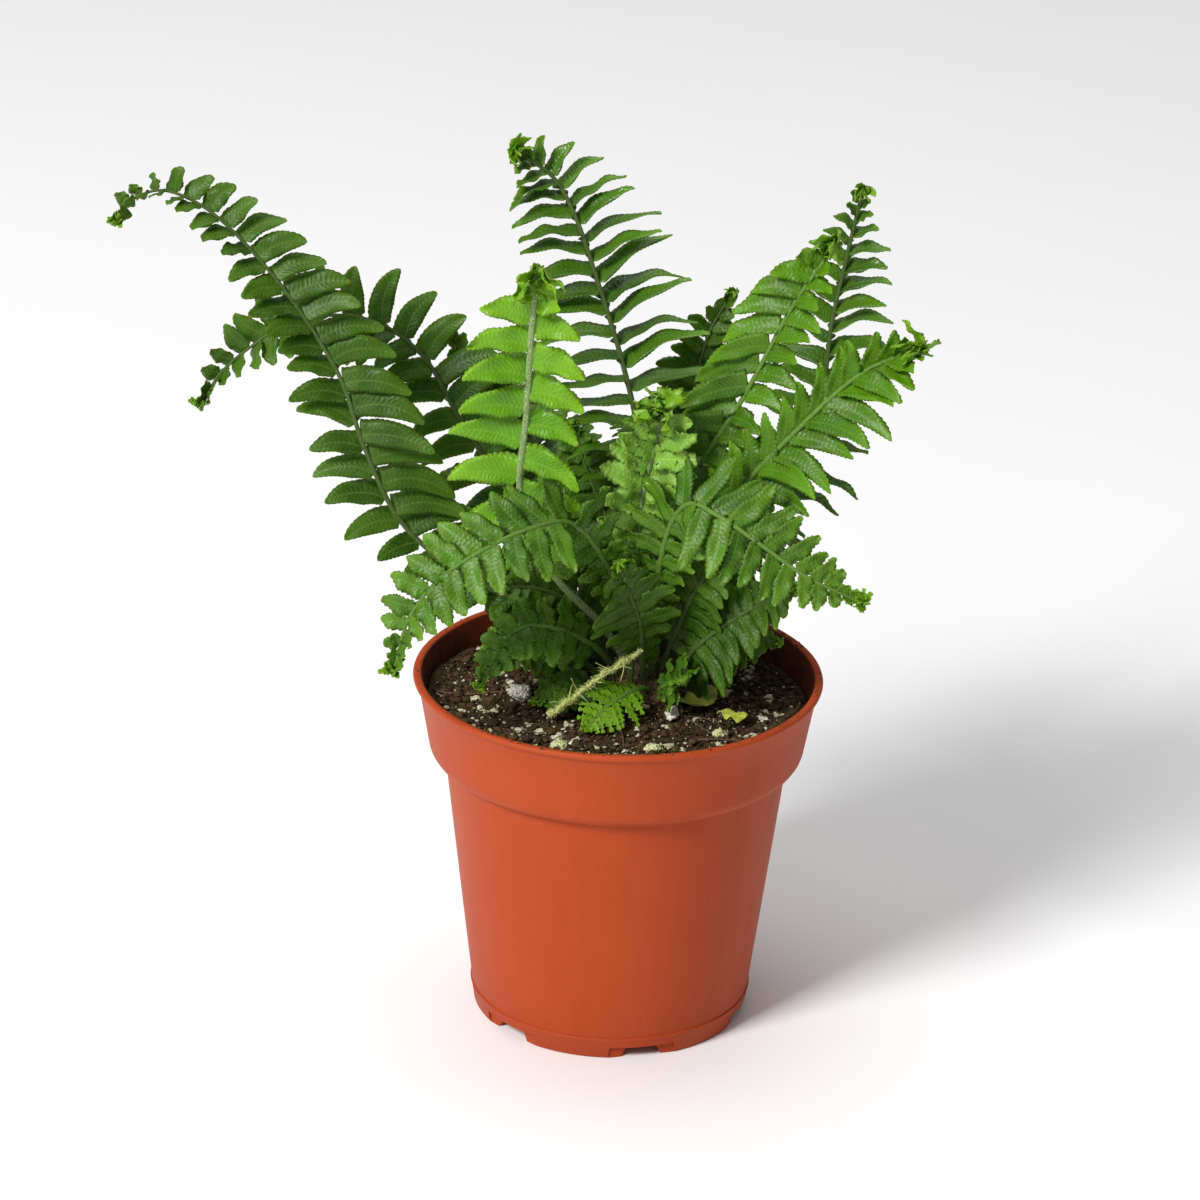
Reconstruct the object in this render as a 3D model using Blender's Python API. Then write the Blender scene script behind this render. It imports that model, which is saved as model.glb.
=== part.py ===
"""Potted sword fern: a moulded nursery pot, its soil, the crown and every frond as a piece of its own.

Units are metres, +Z is up. The origin is on the pot's axis, on the plane that the pot stands on.
Lengths in the tables are in millimetres and are multiplied by MM where they are used.
"""
import math
from collections import namedtuple

import bmesh
import bpy
from mathutils import Vector
from mathutils.bvhtree import BVHTree

MM = 0.001

# ---------------------------------------------------------------- pot
RIM_RADIUS = 54.0
RIM_HEIGHT = 95.5
FOOT_RADIUS = 36.9
POT_SIDES = 48
NOTCH_COUNT = 6
NOTCH_TURN = math.radians(-76.0)
POCKET_WIDTH, POCKET_DEPTH, POCKET_HEIGHT = 18.6, 1.2, 2.9
ARCH_FOOT_WIDTH, ARCH_TOP_WIDTH, ARCH_HEIGHT = 11.0, 7.6, 2.5
DRAIN_WIDTH, DRAIN_LENGTH, DRAIN_RADIUS = 3.6, 9.0, 26.0

# Radius and height of the pot's section, from the foot pad's middle out and back along the inside.
POT_SECTION = [
    (0.0, 0.0), (9.4, 0.0), (11.2, 3.4), (34.0, 3.4), (34.4, 0.0), (36.3, 0.0), (FOOT_RADIUS, 0.7),
    (37.4, 5.5), (37.75, 6.0), (37.5, 6.5), (45.4, 72.0), (45.8, 73.0), (48.0, 73.7), (49.4, 75.3),
    (49.8, 77.0), (52.7, 93.6), (53.7, 93.9), (RIM_RADIUS, 94.7), (53.6, RIM_HEIGHT),
    (52.1, RIM_HEIGHT), (51.6, 94.7), (48.8, 77.2), (47.8, 75.2), (45.3, 74.0), (44.3, 72.2),
    (36.4, 6.2), (35.4, 4.7), (12.1, 4.7), (10.2, 1.3), (0.0, 1.3),
]

# ---------------------------------------------------------------- soil and crown
SOIL_SIDES = 36
SOIL_GAP = 0.35
SOIL_WALL = [
    (0.0, 1.7), (9.7, 1.7), (11.8, 5.05), (35.0, 5.05), (36.0, 6.4), (43.9, 72.4), (44.9, 74.3),
    (47.4, 75.5), (48.4, 77.4),
]
SOIL_EDGE = 49.5
SOIL_RINGS = [49.5, 44.0, 36.0, 27.0, 19.0, 14.0]
PLATEAU_HEIGHT = 92.2
EDGE_HEIGHT = 86.3
CROWN_CENTRE = Vector((6.0, -3.0, 92.7))
CROWN_RADIUS, CROWN_RISE = 11.0, 5.6

# ---------------------------------------------------------------- fronds
RACHIS_WIDE, RACHIS_FINE = 0.85, 0.36
BLADE_THICK = 0.6
NECK = 1.4
CLEARANCE = 0.35

Frond = namedtuple(
    "Frond",
    "name spot ring route face_low face_high pairs bare reach breadth lean lift blind droop tone",
)

DARK = (0.030, 0.115, 0.018)
MID = (0.055, 0.190, 0.022)
BRIGHT = (0.120, 0.370, 0.022)
YOUNG = (0.210, 0.430, 0.060)

# spot is the direction on the crown in degrees from +X, ring its distance from the crown's middle.
# route is the midrib's way, face_low and face_high the direction that the upper side looks in.
# reach and breadth are the longest leaflet's size; lean, lift and blind turn each leaflet, in degrees.
FRONDS = [
    Frond("frond_far_left_arching", 187, 8.5,
          [(-14, -5, 112), (-38, -9, 124), (-56, -12, 140), (-66, -13, 161), (-73, -12, 181),
           (-87, -11, 203), (-103, -9, 220), (-116, -7, 226), (-125, -6, 223), (-127, -6, 219)],
          (-0.2, -0.9, 0.4), (-0.1, -0.6, 0.8), 20, 0.24, 19, 6.6, 8, 8, 18, 0.10, DARK),
    Frond("frond_left_drooping", 160, 5.0,
          [(-8, 5, 114), (-24, 10, 132), (-43, 14, 160), (-53, 17, 176), (-67, 18, 185),
           (-85, 15, 186), (-97, 12, 179), (-105, 10, 172), (-109, 8, 165)],
          (-0.2, -0.8, 0.6), (0.1, -0.7, 0.7), 16, 0.26, 18, 6.4, 12, 8, 12, 0.08, DARK),
    Frond("frond_front_upright", 236, 5.0,
          [(-4, -10, 112), (-18, -16, 130), (-26, -22, 152), (-25, -26, 175), (-24, -30, 197),
           (-23, -33, 214)],
          (-0.1, -1.0, 0.2), (0.0, -1.0, 0.1), 11, 0.34, 16, 8.6, 4, 6, 20, 0.06, BRIGHT),
    Frond("frond_tall_back", 90, 4.0,
          [(6, 6, 118), (5, 11, 140), (3, 13, 160), (-2, 16, 179), (-8, 18, 197), (-14, 21, 213),
           (-20, 23, 223), (-29, 21, 230)],
          (0.1, -1.0, 0.1), (0.3, -0.9, 0.2), 21, 0.28, 21, 6.0, 10, 6, 52, 0.05, DARK),
    Frond("frond_right_back_upright", 22, 8.5,
          [(16, 4, 110), (30, 12, 126), (44, 17, 147), (51, 21, 166), (53, 22, 186), (56, 22, 204),
           (59, 20, 222)],
          (-0.2, -0.9, 0.3), (-0.2, -1.0, 0.2), 17, 0.30, 14, 5.2, 12, 6, 42, 0.05, DARK),
    Frond("frond_right_upright", 330, 4.0,
          [(10, -4, 118), (12, -7, 138), (19, -10, 157), (30, -12, 178), (41, -13, 202),
           (51, -12, 218)],
          (-0.4, -0.8, 0.4), (-0.5, -0.8, 0.3), 15, 0.34, 15, 6.0, 14, 12, 22, 0.05, BRIGHT),
    Frond("frond_right_spreading", 348, 8.5,
          [(17, -7, 112), (22, -14, 136), (30, -21, 156), (42, -26, 173), (56, -27, 188),
           (66, -27, 194), (72, -27, 196)],
          (-0.3, -0.9, 0.3), (-0.3, -0.8, 0.5), 15, 0.30, 17, 6.0, 16, 8, 16, 0.10, BRIGHT),
    Frond("frond_front_right_arching", 296, 5.5,
          [(9, -12, 120), (11, -21, 142), (16, -28, 154), (24, -36, 154), (34, -41, 149),
           (46, -45, 142), (59, -48, 137)],
          (-0.2, -0.8, 0.6), (-0.1, -0.75, 0.65), 15, 0.34, 15, 5.2, 12, 4, 12, 0.06, MID),
    Frond("frond_right_low", 318, 8.5,
          [(16, -10, 102), (21, -14, 110), (28, -18, 118), (36, -20, 124), (44, -22, 129)],
          (-0.4, -0.7, 0.5), (-0.3, -0.75, 0.55), 9, 0.14, 14, 5.0, 10, 2, 6, 0.20, DARK),
    Frond("frond_front_left_arching", 252, 8.5,
          [(2, -13, 118), (-5, -20, 136), (-13, -28, 148), (-23, -37, 150), (-35, -43, 146),
           (-46, -47, 139), (-53, -49, 129), (-56, -50, 117)],
          (-0.1, -0.7, 0.7), (-0.3, -0.8, 0.4), 15, 0.34, 14, 5.4, 10, 4, 8, 0.08, MID),
    Frond("frond_left_low", 210, 7.5,
          [(-5, -11, 106), (-15, -19, 115), (-25, -25, 118), (-31, -29, 113), (-35, -32, 105)],
          (-0.1, -0.7, 0.7), (-0.2, -0.8, 0.5), 8, 0.24, 10, 5.4, 10, 2, 6, 0.10, MID),
    Frond("frond_young_centre", 272, 3.5,
          [(6, -7, 118), (4, -11, 134), (5, -15, 152), (8, -17, 168), (8, -18, 178)],
          (0.0, -1.0, 0.2), (0.1, -1.0, 0.1), 8, 0.50, 9, 5.4, 20, 16, 14, 0.04, YOUNG),
    Frond("frond_back_right_short", 55, 5.0,
          [(11, 7, 118), (13, 18, 138), (17, 26, 160), (21, 31, 178), (27, 32, 190)],
          (-0.1, -0.9, 0.4), (-0.1, -0.9, 0.4), 12, 0.34, 16, 5.6, 20, 6, 24, 0.06, DARK),
    Frond("frond_back_left_short", 124, 6.0,
          [(-2, 8, 114), (-16, 18, 136), (-30, 26, 156), (-40, 31, 169), (-48, 33, 178)],
          (-0.1, -0.8, 0.6), (-0.1, -0.8, 0.6), 12, 0.34, 15, 5.6, 16, 6, 16, 0.06, DARK),
    Frond("frond_inner_glossy", 275, 7.2,
          [(6, -14, 106), (5, -20, 118), (2, -24, 128), (-1, -26, 136)],
          (0.1, -0.8, 0.6), (0.1, -0.8, 0.6), 5, 0.42, 13, 7.2, 10, 6, 8, 0.12, DARK),
    Frond("frond_inner_left", 172, 9.5,
          [(-6, -1, 104), (-20, 0, 114), (-34, 2, 120), (-46, 4, 121)],
          (-0.2, -0.7, 0.7), (-0.2, -0.7, 0.7), 9, 0.26, 12, 5.2, 12, 4, 8, 0.14, DARK),
    Frond("frond_inner_right", 5, 6.5,
          [(16, 0, 112), (23, 2, 126), (31, 4, 138), (39, 4, 147)],
          (-0.3, -0.8, 0.5), (-0.3, -0.8, 0.5), 9, 0.34, 13, 5.4, 14, 6, 14, 0.10, DARK),
    Frond("frond_inner_back", 108, 7.5,
          [(2, 8, 118), (-4, 11, 134), (-10, 13, 148), (-14, 13, 160)],
          (-0.1, -0.9, 0.4), (-0.1, -0.9, 0.4), 9, 0.40, 13, 6.0, 12, 6, 12, 0.10, DARK),
    Frond("frond_front_low", 228, 10.0,
          [(-4, -12, 97), (-9, -16, 98), (-15, -19, 98), (-21, -21, 95)],
          (-0.1, -0.6, 0.8), (-0.2, -0.6, 0.8), 5, 0.20, 8, 5.2, 8, 4, 4, 0.04, MID),
    Frond("frond_inner_front_left", 205, 4.2,
          [(-5, -6, 110), (-13, -10, 119), (-22, -13, 124), (-31, -16, 125)],
          (-0.1, -0.8, 0.6), (-0.2, -0.7, 0.7), 8, 0.30, 14, 6.4, 10, 6, 10, 0.10, DARK),
    Frond("frond_inner_front_right", 318, 6.0,
          [(15, -9, 112), (19, -13, 124), (24, -16, 133), (30, -18, 138)],
          (-0.2, -0.8, 0.6), (-0.2, -0.7, 0.7), 8, 0.30, 13, 6.0, 10, 6, 10, 0.10, DARK),
    Frond("frond_inner_low_left", 192, 9.8,
          [(-8, -5, 99), (-17, -8, 106), (-27, -12, 108), (-35, -16, 105)],
          (-0.1, -0.6, 0.8), (-0.2, -0.7, 0.7), 8, 0.22, 11, 5.4, 10, 4, 6, 0.10, MID),
    Frond("frond_inner_low_right", 340, 9.8,
          [(18, -6, 99), (26, -8, 106), (34, -9, 110), (41, -10, 109)],
          (-0.2, -0.7, 0.7), (-0.3, -0.7, 0.6), 8, 0.22, 10, 5.0, 10, 4, 6, 0.10, DARK),
    Frond("frond_base_front", 300, 10.0,
          [(11, -14, 97), (14, -18, 101), (16, -22, 104), (17, -26, 104)],
          (0.0, -0.7, 0.7), (-0.1, -0.7, 0.7), 4, 0.34, 8, 6.0, 10, 4, 4, 0.06, MID),
    Frond("frond_back_arching", 78, 8.5,
          [(8, 10, 110), (9, 26, 128), (9, 44, 139), (8, 60, 141), (6, 74, 134), (5, 82, 124)],
          (0.0, -0.5, 0.9), (0.0, 0.5, 0.9), 14, 0.22, 17, 6.0, 12, 6, 8, 0.12, DARK),
    Frond("frond_back_left_arching", 140, 9.5,
          [(-4, 8, 106), (-15, 24, 124), (-27, 39, 134), (-40, 51, 134), (-51, 59, 124)],
          (0.2, -0.3, 0.9), (-0.4, 0.3, 0.8), 12, 0.24, 15, 6.0, 12, 6, 8, 0.12, DARK),
    Frond("frond_back_right_arching", 38, 9.5,
          [(16, 8, 104), (26, 20, 116), (36, 34, 121), (44, 46, 117), (50, 56, 107)],
          (-0.2, -0.3, 0.9), (0.4, 0.4, 0.8), 11, 0.22, 13, 5.6, 12, 6, 8, 0.12, DARK),
    Frond("frond_back_left_rising", 112, 9.8,
          [(1, 10, 110), (-7, 24, 131), (-15, 37, 146), (-24, 49, 153)],
          (0.1, -0.5, 0.9), (-0.1, -0.3, 0.9), 11, 0.30, 14, 6.0, 14, 6, 12, 0.08, DARK),
    Frond("frond_back_right_rising", 58, 9.8,
          [(12, 9, 109), (19, 22, 128), (28, 35, 140), (38, 47, 144)],
          (-0.1, -0.5, 0.9), (0.1, -0.3, 0.9), 11, 0.30, 13, 5.8, 14, 6, 12, 0.08, DARK),
    Frond("frond_back_left_low", 156, 9.8,
          [(-6, 4, 99), (-18, 13, 107), (-30, 24, 109), (-38, 33, 103)],
          (0.1, -0.3, 0.9), (-0.3, 0.2, 0.9), 9, 0.22, 10, 4.8, 12, 4, 6, 0.10, MID),
    Frond("frond_back_right_low", 14, 9.8,
          [(18, 0, 98), (27, 8, 105), (35, 18, 106), (40, 27, 100)],
          (-0.1, -0.3, 0.9), (0.3, 0.2, 0.9), 8, 0.22, 9, 4.6, 12, 4, 6, 0.10, MID),
    Frond("frond_juvenile_front", 280, 9.5,
          [(5, -17, 98), (1, -22, 98), (-4, -27, 96), (-8, -32, 93)],
          (0.0, -0.5, 0.9), (0.0, -0.6, 0.8), 6, 0.34, 7, 2.8, 24, 0, 0, 0.04, BRIGHT),
]

STOLON_ROUTE = [(6, -19, 110), (1, -20.5, 107), (-5, -22.5, 103.5), (-11, -24.5, 99), (-18, -27, 94)]
STOLON_RADIUS = 1.3

# name, place on the soil, half sizes along X, Y and Z, turn about Z in degrees, colour
CHIPS = [
    ("pumice_chip_large", (-25.5, -10.5), (3.7, 3.0, 2.0), -30, (0.62, 0.58, 0.50)),
    ("pumice_chip_small", (14.0, -20.0), (1.7, 3.4, 1.6), -15, (0.66, 0.60, 0.48)),
    ("perlite_chip_left", (-15.0, -37.5), (2.3, 1.7, 1.3), 25, (0.62, 0.62, 0.34)),
    ("perlite_chip_right", (26.0, -27.0), (2.0, 1.5, 1.2), -30, (0.56, 0.62, 0.30)),
    ("perlite_chip_front", (9.0, -38.0), (2.2, 1.6, 1.3), 10, (0.66, 0.62, 0.50)),
    ("perlite_chip_back", (24.0, 33.0), (2.0, 1.6, 1.3), 50, (0.64, 0.62, 0.54)),
]

# Fallen leaflets: name, place, length, width, turn about Z in degrees, slope in degrees
FALLEN = [
    ("fallen_leaflet_left", (22.5, -9.5), 11.5, 8.0, 70, 8),
    ("fallen_leaflet_right", (29.5, -17.5), 7.5, 5.4, 150, -6),
]


def clear_scene():
    for item in list(bpy.data.objects):
        bpy.data.objects.remove(item, do_unlink=True)


def principled(name, colour, roughness):
    made = bpy.data.materials.new(name)
    made.use_nodes = True
    shader = made.node_tree.nodes["Principled BSDF"]
    shader.inputs["Base Color"].default_value = (*colour, 1.0)
    shader.inputs["Roughness"].default_value = roughness
    shader.inputs["Metallic"].default_value = 0.0
    made.diffuse_color = (*colour, 1.0)
    return made


def mesh_object(name, verts, faces, material, smooth=False):
    """A closed object from points in millimetres; its faces are turned to look out."""
    work = bmesh.new()
    made = [work.verts.new(Vector(v) * MM) for v in verts]
    for face in faces:
        work.faces.new([made[i] for i in face])
    bmesh.ops.recalc_face_normals(work, faces=work.faces)
    data = bpy.data.meshes.new(name)
    work.to_mesh(data)
    work.free()
    for face in data.polygons:
        face.use_smooth = smooth
    data.materials.append(material)
    made_object = bpy.data.objects.new(name, data)
    bpy.context.scene.collection.objects.link(made_object)
    return made_object


def turned(section, sides, height=None):
    """Points and faces of a section turned about Z; its two ends lie on the axis.

    height(x, y, z) may lift each point that is not on the axis.
    """
    verts, rings = [], []
    for radius, z in section:
        if radius == 0.0:
            verts.append((0.0, 0.0, z))
            rings.append([len(verts) - 1])
            continue
        ring = []
        for side in range(sides):
            angle = 2 * math.pi * side / sides
            x, y = radius * math.cos(angle), radius * math.sin(angle)
            verts.append((x, y, height(x, y, z) if height else z))
            ring.append(len(verts) - 1)
        rings.append(ring)
    faces = []
    for lower, upper in zip(rings, rings[1:]):
        for side in range(sides):
            after = (side + 1) % sides
            if len(lower) == 1:
                faces.append([lower[0], upper[after], upper[side]])
            elif len(upper) == 1:
                faces.append([lower[side], lower[after], upper[0]])
            else:
                faces.append([lower[side], lower[after], upper[after], upper[side]])
    return verts, faces


def tapered_block(centre, angle, half_radial, foot_width, top_width, z_low, z_high):
    """Eight corners of a block that lies across a radius, narrower at its top."""
    out = Vector((math.cos(angle), math.sin(angle), 0.0))
    side = Vector((-math.sin(angle), math.cos(angle), 0.0))
    corners = []
    for z, width in ((z_low, foot_width), (z_high, top_width)):
        for radial, across in ((-1, -1), (1, -1), (1, 1), (-1, 1)):
            point = out * (centre + radial * half_radial) + side * (across * width / 2)
            corners.append((point.x, point.y, z))
    return corners


BLOCK_FACES = [(0, 3, 2, 1), (4, 5, 6, 7), (0, 1, 5, 4), (1, 2, 6, 5), (2, 3, 7, 6), (3, 0, 4, 7)]


def cutter(name, blocks, material):
    verts, faces = [], []
    for block in blocks:
        start = len(verts)
        verts.extend(block)
        faces.extend([[start + i for i in face] for face in BLOCK_FACES])
    made = mesh_object(name, verts, faces, material)
    made.hide_render = True
    made.display_type = "WIRE"
    return made


def make_pot():
    clay = principled("pot_plastic", (0.52, 0.105, 0.036), 0.45)
    verts, faces = turned(POT_SECTION, POT_SIDES)
    pot = mesh_object("pot", verts, faces, clay, smooth=True)
    angles = [NOTCH_TURN + 2 * math.pi * i / NOTCH_COUNT for i in range(NOTCH_COUNT)]
    pocket_centre = FOOT_RADIUS - POCKET_DEPTH + 4.0
    pockets = [tapered_block(pocket_centre, a, 4.0, POCKET_WIDTH, POCKET_WIDTH - 1.0, -2.0,
                             POCKET_HEIGHT) for a in angles]
    arch_slope = (ARCH_FOOT_WIDTH - ARCH_TOP_WIDTH) / ARCH_HEIGHT
    arches = [tapered_block(FOOT_RADIUS, a, 5.0, ARCH_FOOT_WIDTH + 2.0 * arch_slope, ARCH_TOP_WIDTH,
                            -2.0, ARCH_HEIGHT) for a in angles]
    drains = [tapered_block(DRAIN_RADIUS, a, DRAIN_LENGTH / 2, DRAIN_WIDTH, DRAIN_WIDTH, 2.8, 6.0)
              for a in angles]
    for name, blocks in (("cut_pockets", pockets), ("cut_arches_and_drains", arches + drains)):
        tool = cutter(name, blocks, clay)
        cut = pot.modifiers.new(name, "BOOLEAN")
        cut.operation = "DIFFERENCE"
        cut.solver = "EXACT"
        cut.object = tool
    return pot


def soil_lift(x, y, z):
    """Height of the soil's top: a low uneven mound, a little lower at the back right."""
    if z < EDGE_HEIGHT:
        return z
    radius = math.hypot(x, y)
    run = max(0.0, radius - 14.0)
    rise = (PLATEAU_HEIGHT - EDGE_HEIGHT) * (1.0 - min(1.0, run / 35.5) ** 1.4)
    slope = -0.020 * x - 0.038 * y
    bumps = 0.55 * math.sin(0.31 * x + 1.0) * math.cos(0.27 * y)
    share = min(1.0, run / 8.0)
    return EDGE_HEIGHT + rise + share * (slope + bumps)


def make_soil():
    peat = principled("potting_soil", (0.030, 0.018, 0.012), 0.95)
    section = SOIL_WALL + [(radius, EDGE_HEIGHT) for radius in SOIL_RINGS] + [(0.0, PLATEAU_HEIGHT)]
    verts, faces = turned(section, SOIL_SIDES, soil_lift)
    return mesh_object("potting_soil", verts, faces, peat)


def crown_surface(angle, ring):
    """A point on the crown and the crown's outward direction there."""
    share = min(ring / CROWN_RADIUS, 0.98)
    rise = CROWN_RISE * math.sqrt(1.0 - share * share)
    x, y = ring * math.cos(angle), ring * math.sin(angle)
    outward = Vector((x / CROWN_RADIUS**2, y / CROWN_RADIUS**2, rise / CROWN_RISE**2)).normalized()
    return CROWN_CENTRE + Vector((x, y, rise)), outward


def make_crown():
    scales = principled("crown_scales", (0.16, 0.085, 0.035), 0.85)
    section = [(0.0, 0.0), (CROWN_RADIUS, 0.0)]
    for step in (28, 52, 72):
        angle = math.radians(step)
        section.append((CROWN_RADIUS * math.cos(angle), CROWN_RISE * math.sin(angle)))
    section.append((0.0, CROWN_RISE))
    verts, faces = turned(section, 16)
    verts = [Vector(v) + CROWN_CENTRE for v in verts]
    return mesh_object("crown", verts, faces, scales)


def spline_point(points, place):
    """A point of the smooth curve through points; place runs from 0 to len(points) - 1."""
    index = min(int(place), len(points) - 2)
    t = place - index
    before = points[index - 1] if index else points[0] * 2 - points[1]
    after = points[index + 2] if index + 2 < len(points) else points[-1] * 2 - points[-2]
    a, b = points[index], points[index + 1]
    return 0.5 * (
        2 * a + (b - before) * t + (2 * before - 5 * a + 4 * b - after) * t**2
        + (3 * a - before - 3 * b + after) * t**3
    )


def even_curve(points, count):
    """count + 1 points, evenly spaced along the smooth curve through points."""
    fine = 24 * (len(points) - 1)
    dense = [spline_point(points, i * (len(points) - 1) / fine) for i in range(fine + 1)]
    run = [0.0]
    for a, b in zip(dense, dense[1:]):
        run.append(run[-1] + (b - a).length)
    curve, j = [], 0
    for i in range(count + 1):
        want = run[-1] * i / count
        while j < len(run) - 2 and run[j + 1] < want:
            j += 1
        share = (want - run[j]) / max(run[j + 1] - run[j], 1e-9)
        curve.append(dense[j].lerp(dense[j + 1], min(share, 1.0)))
    return curve, run[-1]


def frames_along(curve, face_low, face_high):
    """Along, out and side directions at each point; out is where the upper side looks."""
    low, high = Vector(face_low).normalized(), Vector(face_high).normalized()
    frames = []
    for i in range(len(curve)):
        along = (curve[min(i + 1, len(curve) - 1)] - curve[max(i - 1, 0)]).normalized()
        out = low.lerp(high, i / (len(curve) - 1))
        out = (out - along * out.dot(along)).normalized()
        frames.append((along, out, along.cross(out).normalized()))
    return frames


def leaflet_length(frond, share):
    """Leaflet length at share of the leafy run: short at the foot, longest low down, fine at the tip."""
    grow = 0.62 + 0.38 * min(1.0, share / 0.22)
    return frond.reach * grow * max(0.16, (1.0 - share**2.3) ** 0.85)


def leaflet_points(base, frame, side, length, chord, lean, lift, blind, droop, pad=0.0):
    """Corners of one leaflet beyond its foot: a ring of four at its widest, and two at its tip."""
    along, out, across = frame
    way = side * across * math.cos(lean) + along * math.sin(lean)
    way = (way * math.cos(lift) + out * math.sin(lift)).normalized()
    chordwise = (along - way * along.dot(way)).normalized()
    normal = (out - way * out.dot(way) - chordwise * out.dot(chordwise)).normalized()
    edge = chordwise * math.cos(blind) - normal * math.sin(blind)
    top = normal * math.cos(blind) + chordwise * math.sin(blind)
    fall = Vector((0.0, 0.0, -1.0)) * droop * length
    widest = base + way * length * 0.40 + fall * 0.16
    tip = base + way * length + fall
    half, thick = chord / 2 + pad, BLADE_THICK / 2 + pad
    ring = [widest - edge * half + top * thick, widest + edge * half + top * thick,
            widest + edge * half - top * thick, widest - edge * half - top * thick]
    blunt = chord * 0.20
    return ring, [tip - edge * blunt + way * pad, tip + edge * blunt + way * pad]


# Each leaflet tries these in turn until it clears everything that is already there:
# changes of lift and blind in degrees, and a share of its full length.
TURNS = [(0, 0, 1.0), (10, 0, 1.0), (-10, 0, 1.0), (0, 14, 1.0), (0, -14, 1.0), (18, 12, 0.95),
         (-18, -12, 0.95), (26, 0, 0.9), (-26, 0, 0.9), (0, 0, 0.8), (14, 14, 0.8), (-14, -14, 0.8),
         (32, 20, 0.75), (-32, -20, 0.75), (0, 0, 0.6), (22, 0, 0.6), (-22, 0, 0.6), (0, 0, 0.42),
         (30, 0, 0.42), (-30, 0, 0.42)]
PROXY_FACES = [(0, 1, 2, 3), (4, 5, 6, 7), (0, 1, 5, 4), (1, 2, 6, 5), (2, 3, 7, 6), (3, 0, 4, 7),
               (4, 5, 9, 8), (7, 6, 9, 8), (4, 7, 8), (5, 6, 9)]


def tree_of(verts, faces):
    return BVHTree.FromPolygons([tuple(v) for v in verts], faces)


def outer_tree(foot, ring, tip):
    """The tree of a leaflet without its foot, which meets its own midrib."""
    start = [sum(foot, Vector()) / 4] * 4
    return tree_of([a.lerp(b, 0.22) for a, b in zip(start, ring)] + ring + tip, PROXY_FACES)


def clears(foot, ring, tip, others, own):
    """Is a leaflet clear of the other pieces all along, and of its own frond past its foot?"""
    whole, outer = tree_of(foot + ring + tip, PROXY_FACES), outer_tree(foot, ring, tip)
    return not (any(whole.overlap(tree) for tree in others)
                or any(outer.overlap(tree) for tree in own))


Midrib = namedtuple("Midrib", "places frames run verts tree")
BARE_STEPS = 4


def make_midrib(frond):
    """The midrib as a square tube: four points at each place, and the tree of its four walls."""
    start, outward = crown_surface(math.radians(frond.spot), frond.ring)
    points = [start + outward * NECK] + [Vector(p) for p in frond.route]
    steps = 2 * frond.pairs + 1
    places = [frond.bare * i / BARE_STEPS for i in range(BARE_STEPS)]
    places += [frond.bare + (1.0 - frond.bare) * i / steps for i in range(steps + 1)]
    dense, run = even_curve(points, 600)
    curve = [dense[round(600 * place)] for place in places]
    frames = frames_along(curve, frond.face_low, frond.face_high)
    verts, walls = [], []
    for place, point, (along, out, across) in zip(places, curve, frames):
        half = RACHIS_WIDE + (RACHIS_FINE - RACHIS_WIDE) * place
        for x, z in ((-1, 1), (1, 1), (1, -1), (-1, -1)):
            verts.append(point + across * x * half + out * z * half * 0.8)
    for a in range(0, len(verts) - 4, 4):
        b = a + 4
        walls += [[a, b, b + 1, a + 1], [a + 3, a + 2, b + 2, b + 3]]
        walls += [[a + 1, b + 1, b + 2, a + 2], [a, a + 3, b + 3, b]]
    return Midrib(places, frames, run, verts, tree_of(verts, walls))


def frond_mesh(frond, midrib, obstacles):
    """Points and faces of one frond: its midrib with leaflets drawn out of its two sides."""
    verts, faces, placed = list(midrib.verts), [], []
    last = len(verts) - 4
    spacing = midrib.run * (1.0 - frond.bare) / (2 * frond.pairs + 1)
    for a in range(0, last, 4):
        b, step = a + 4, a // 4 - BARE_STEPS
        faces.append([a, b, b + 1, a + 1])
        faces.append([a + 3, a + 2, b + 2, b + 3])
        for side, foot in ((1, [a + 1, b + 1, b + 2, a + 2]), (-1, [a, b, b + 3, a + 3])):
            shape = None
            if step >= 0 and step % 2 == (0 if side > 0 else 1):
                share = (midrib.places[a // 4] - frond.bare) / (1.0 - frond.bare)
                shape = fit_leaflet(frond, verts, foot, midrib.frames[a // 4], side, share, spacing,
                                    obstacles, midrib.tree, placed)
            if shape is None:
                faces.append(foot)
                continue
            ring, tip = shape
            first = len(verts)
            verts.extend(ring + tip)
            # upper and lower side are split along the same diagonal, so a turned leaflet stays open
            faces += [[foot[0], foot[1], first + 1], [foot[0], first + 1, first]]
            faces += [[foot[3], foot[2], first + 2], [foot[3], first + 2, first + 3]]
            faces += [[foot[1], foot[2], first + 2, first + 1], [foot[3], foot[0], first, first + 3]]
            faces.append([first, first + 1, first + 5, first + 4])
            faces.append([first + 3, first + 2, first + 5, first + 4])
            faces.append([first, first + 3, first + 4])
            faces.append([first + 1, first + 2, first + 5])
    faces.append(list(range(4)))
    faces.append([last + k for k in range(4)])
    return verts, faces


def fit_leaflet(frond, verts, foot, frame, side, share, spacing, obstacles, rib, placed):
    """The first of TURNS with which this leaflet clears its neighbours, or None."""
    corners = [verts[k] for k in foot]
    base = sum(corners, Vector()) / 4
    length = leaflet_length(frond, share)
    chord = min(frond.breadth, spacing * 1.72) * (0.55 + 0.45 * length / frond.reach)
    for lift, blind, part in TURNS:
        turn = (math.radians(frond.lean + 14 * share), math.radians(frond.lift + lift),
                math.radians(frond.blind + blind), frond.droop)
        padded = leaflet_points(base, frame, side, length * part, chord, *turn, pad=CLEARANCE)
        if clears(corners, *padded, obstacles, [rib] + placed[-6:]):
            shape = leaflet_points(base, frame, side, length * part, chord, *turn)
            placed.append(outer_tree(corners, *shape))
            return shape
    return None


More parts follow.
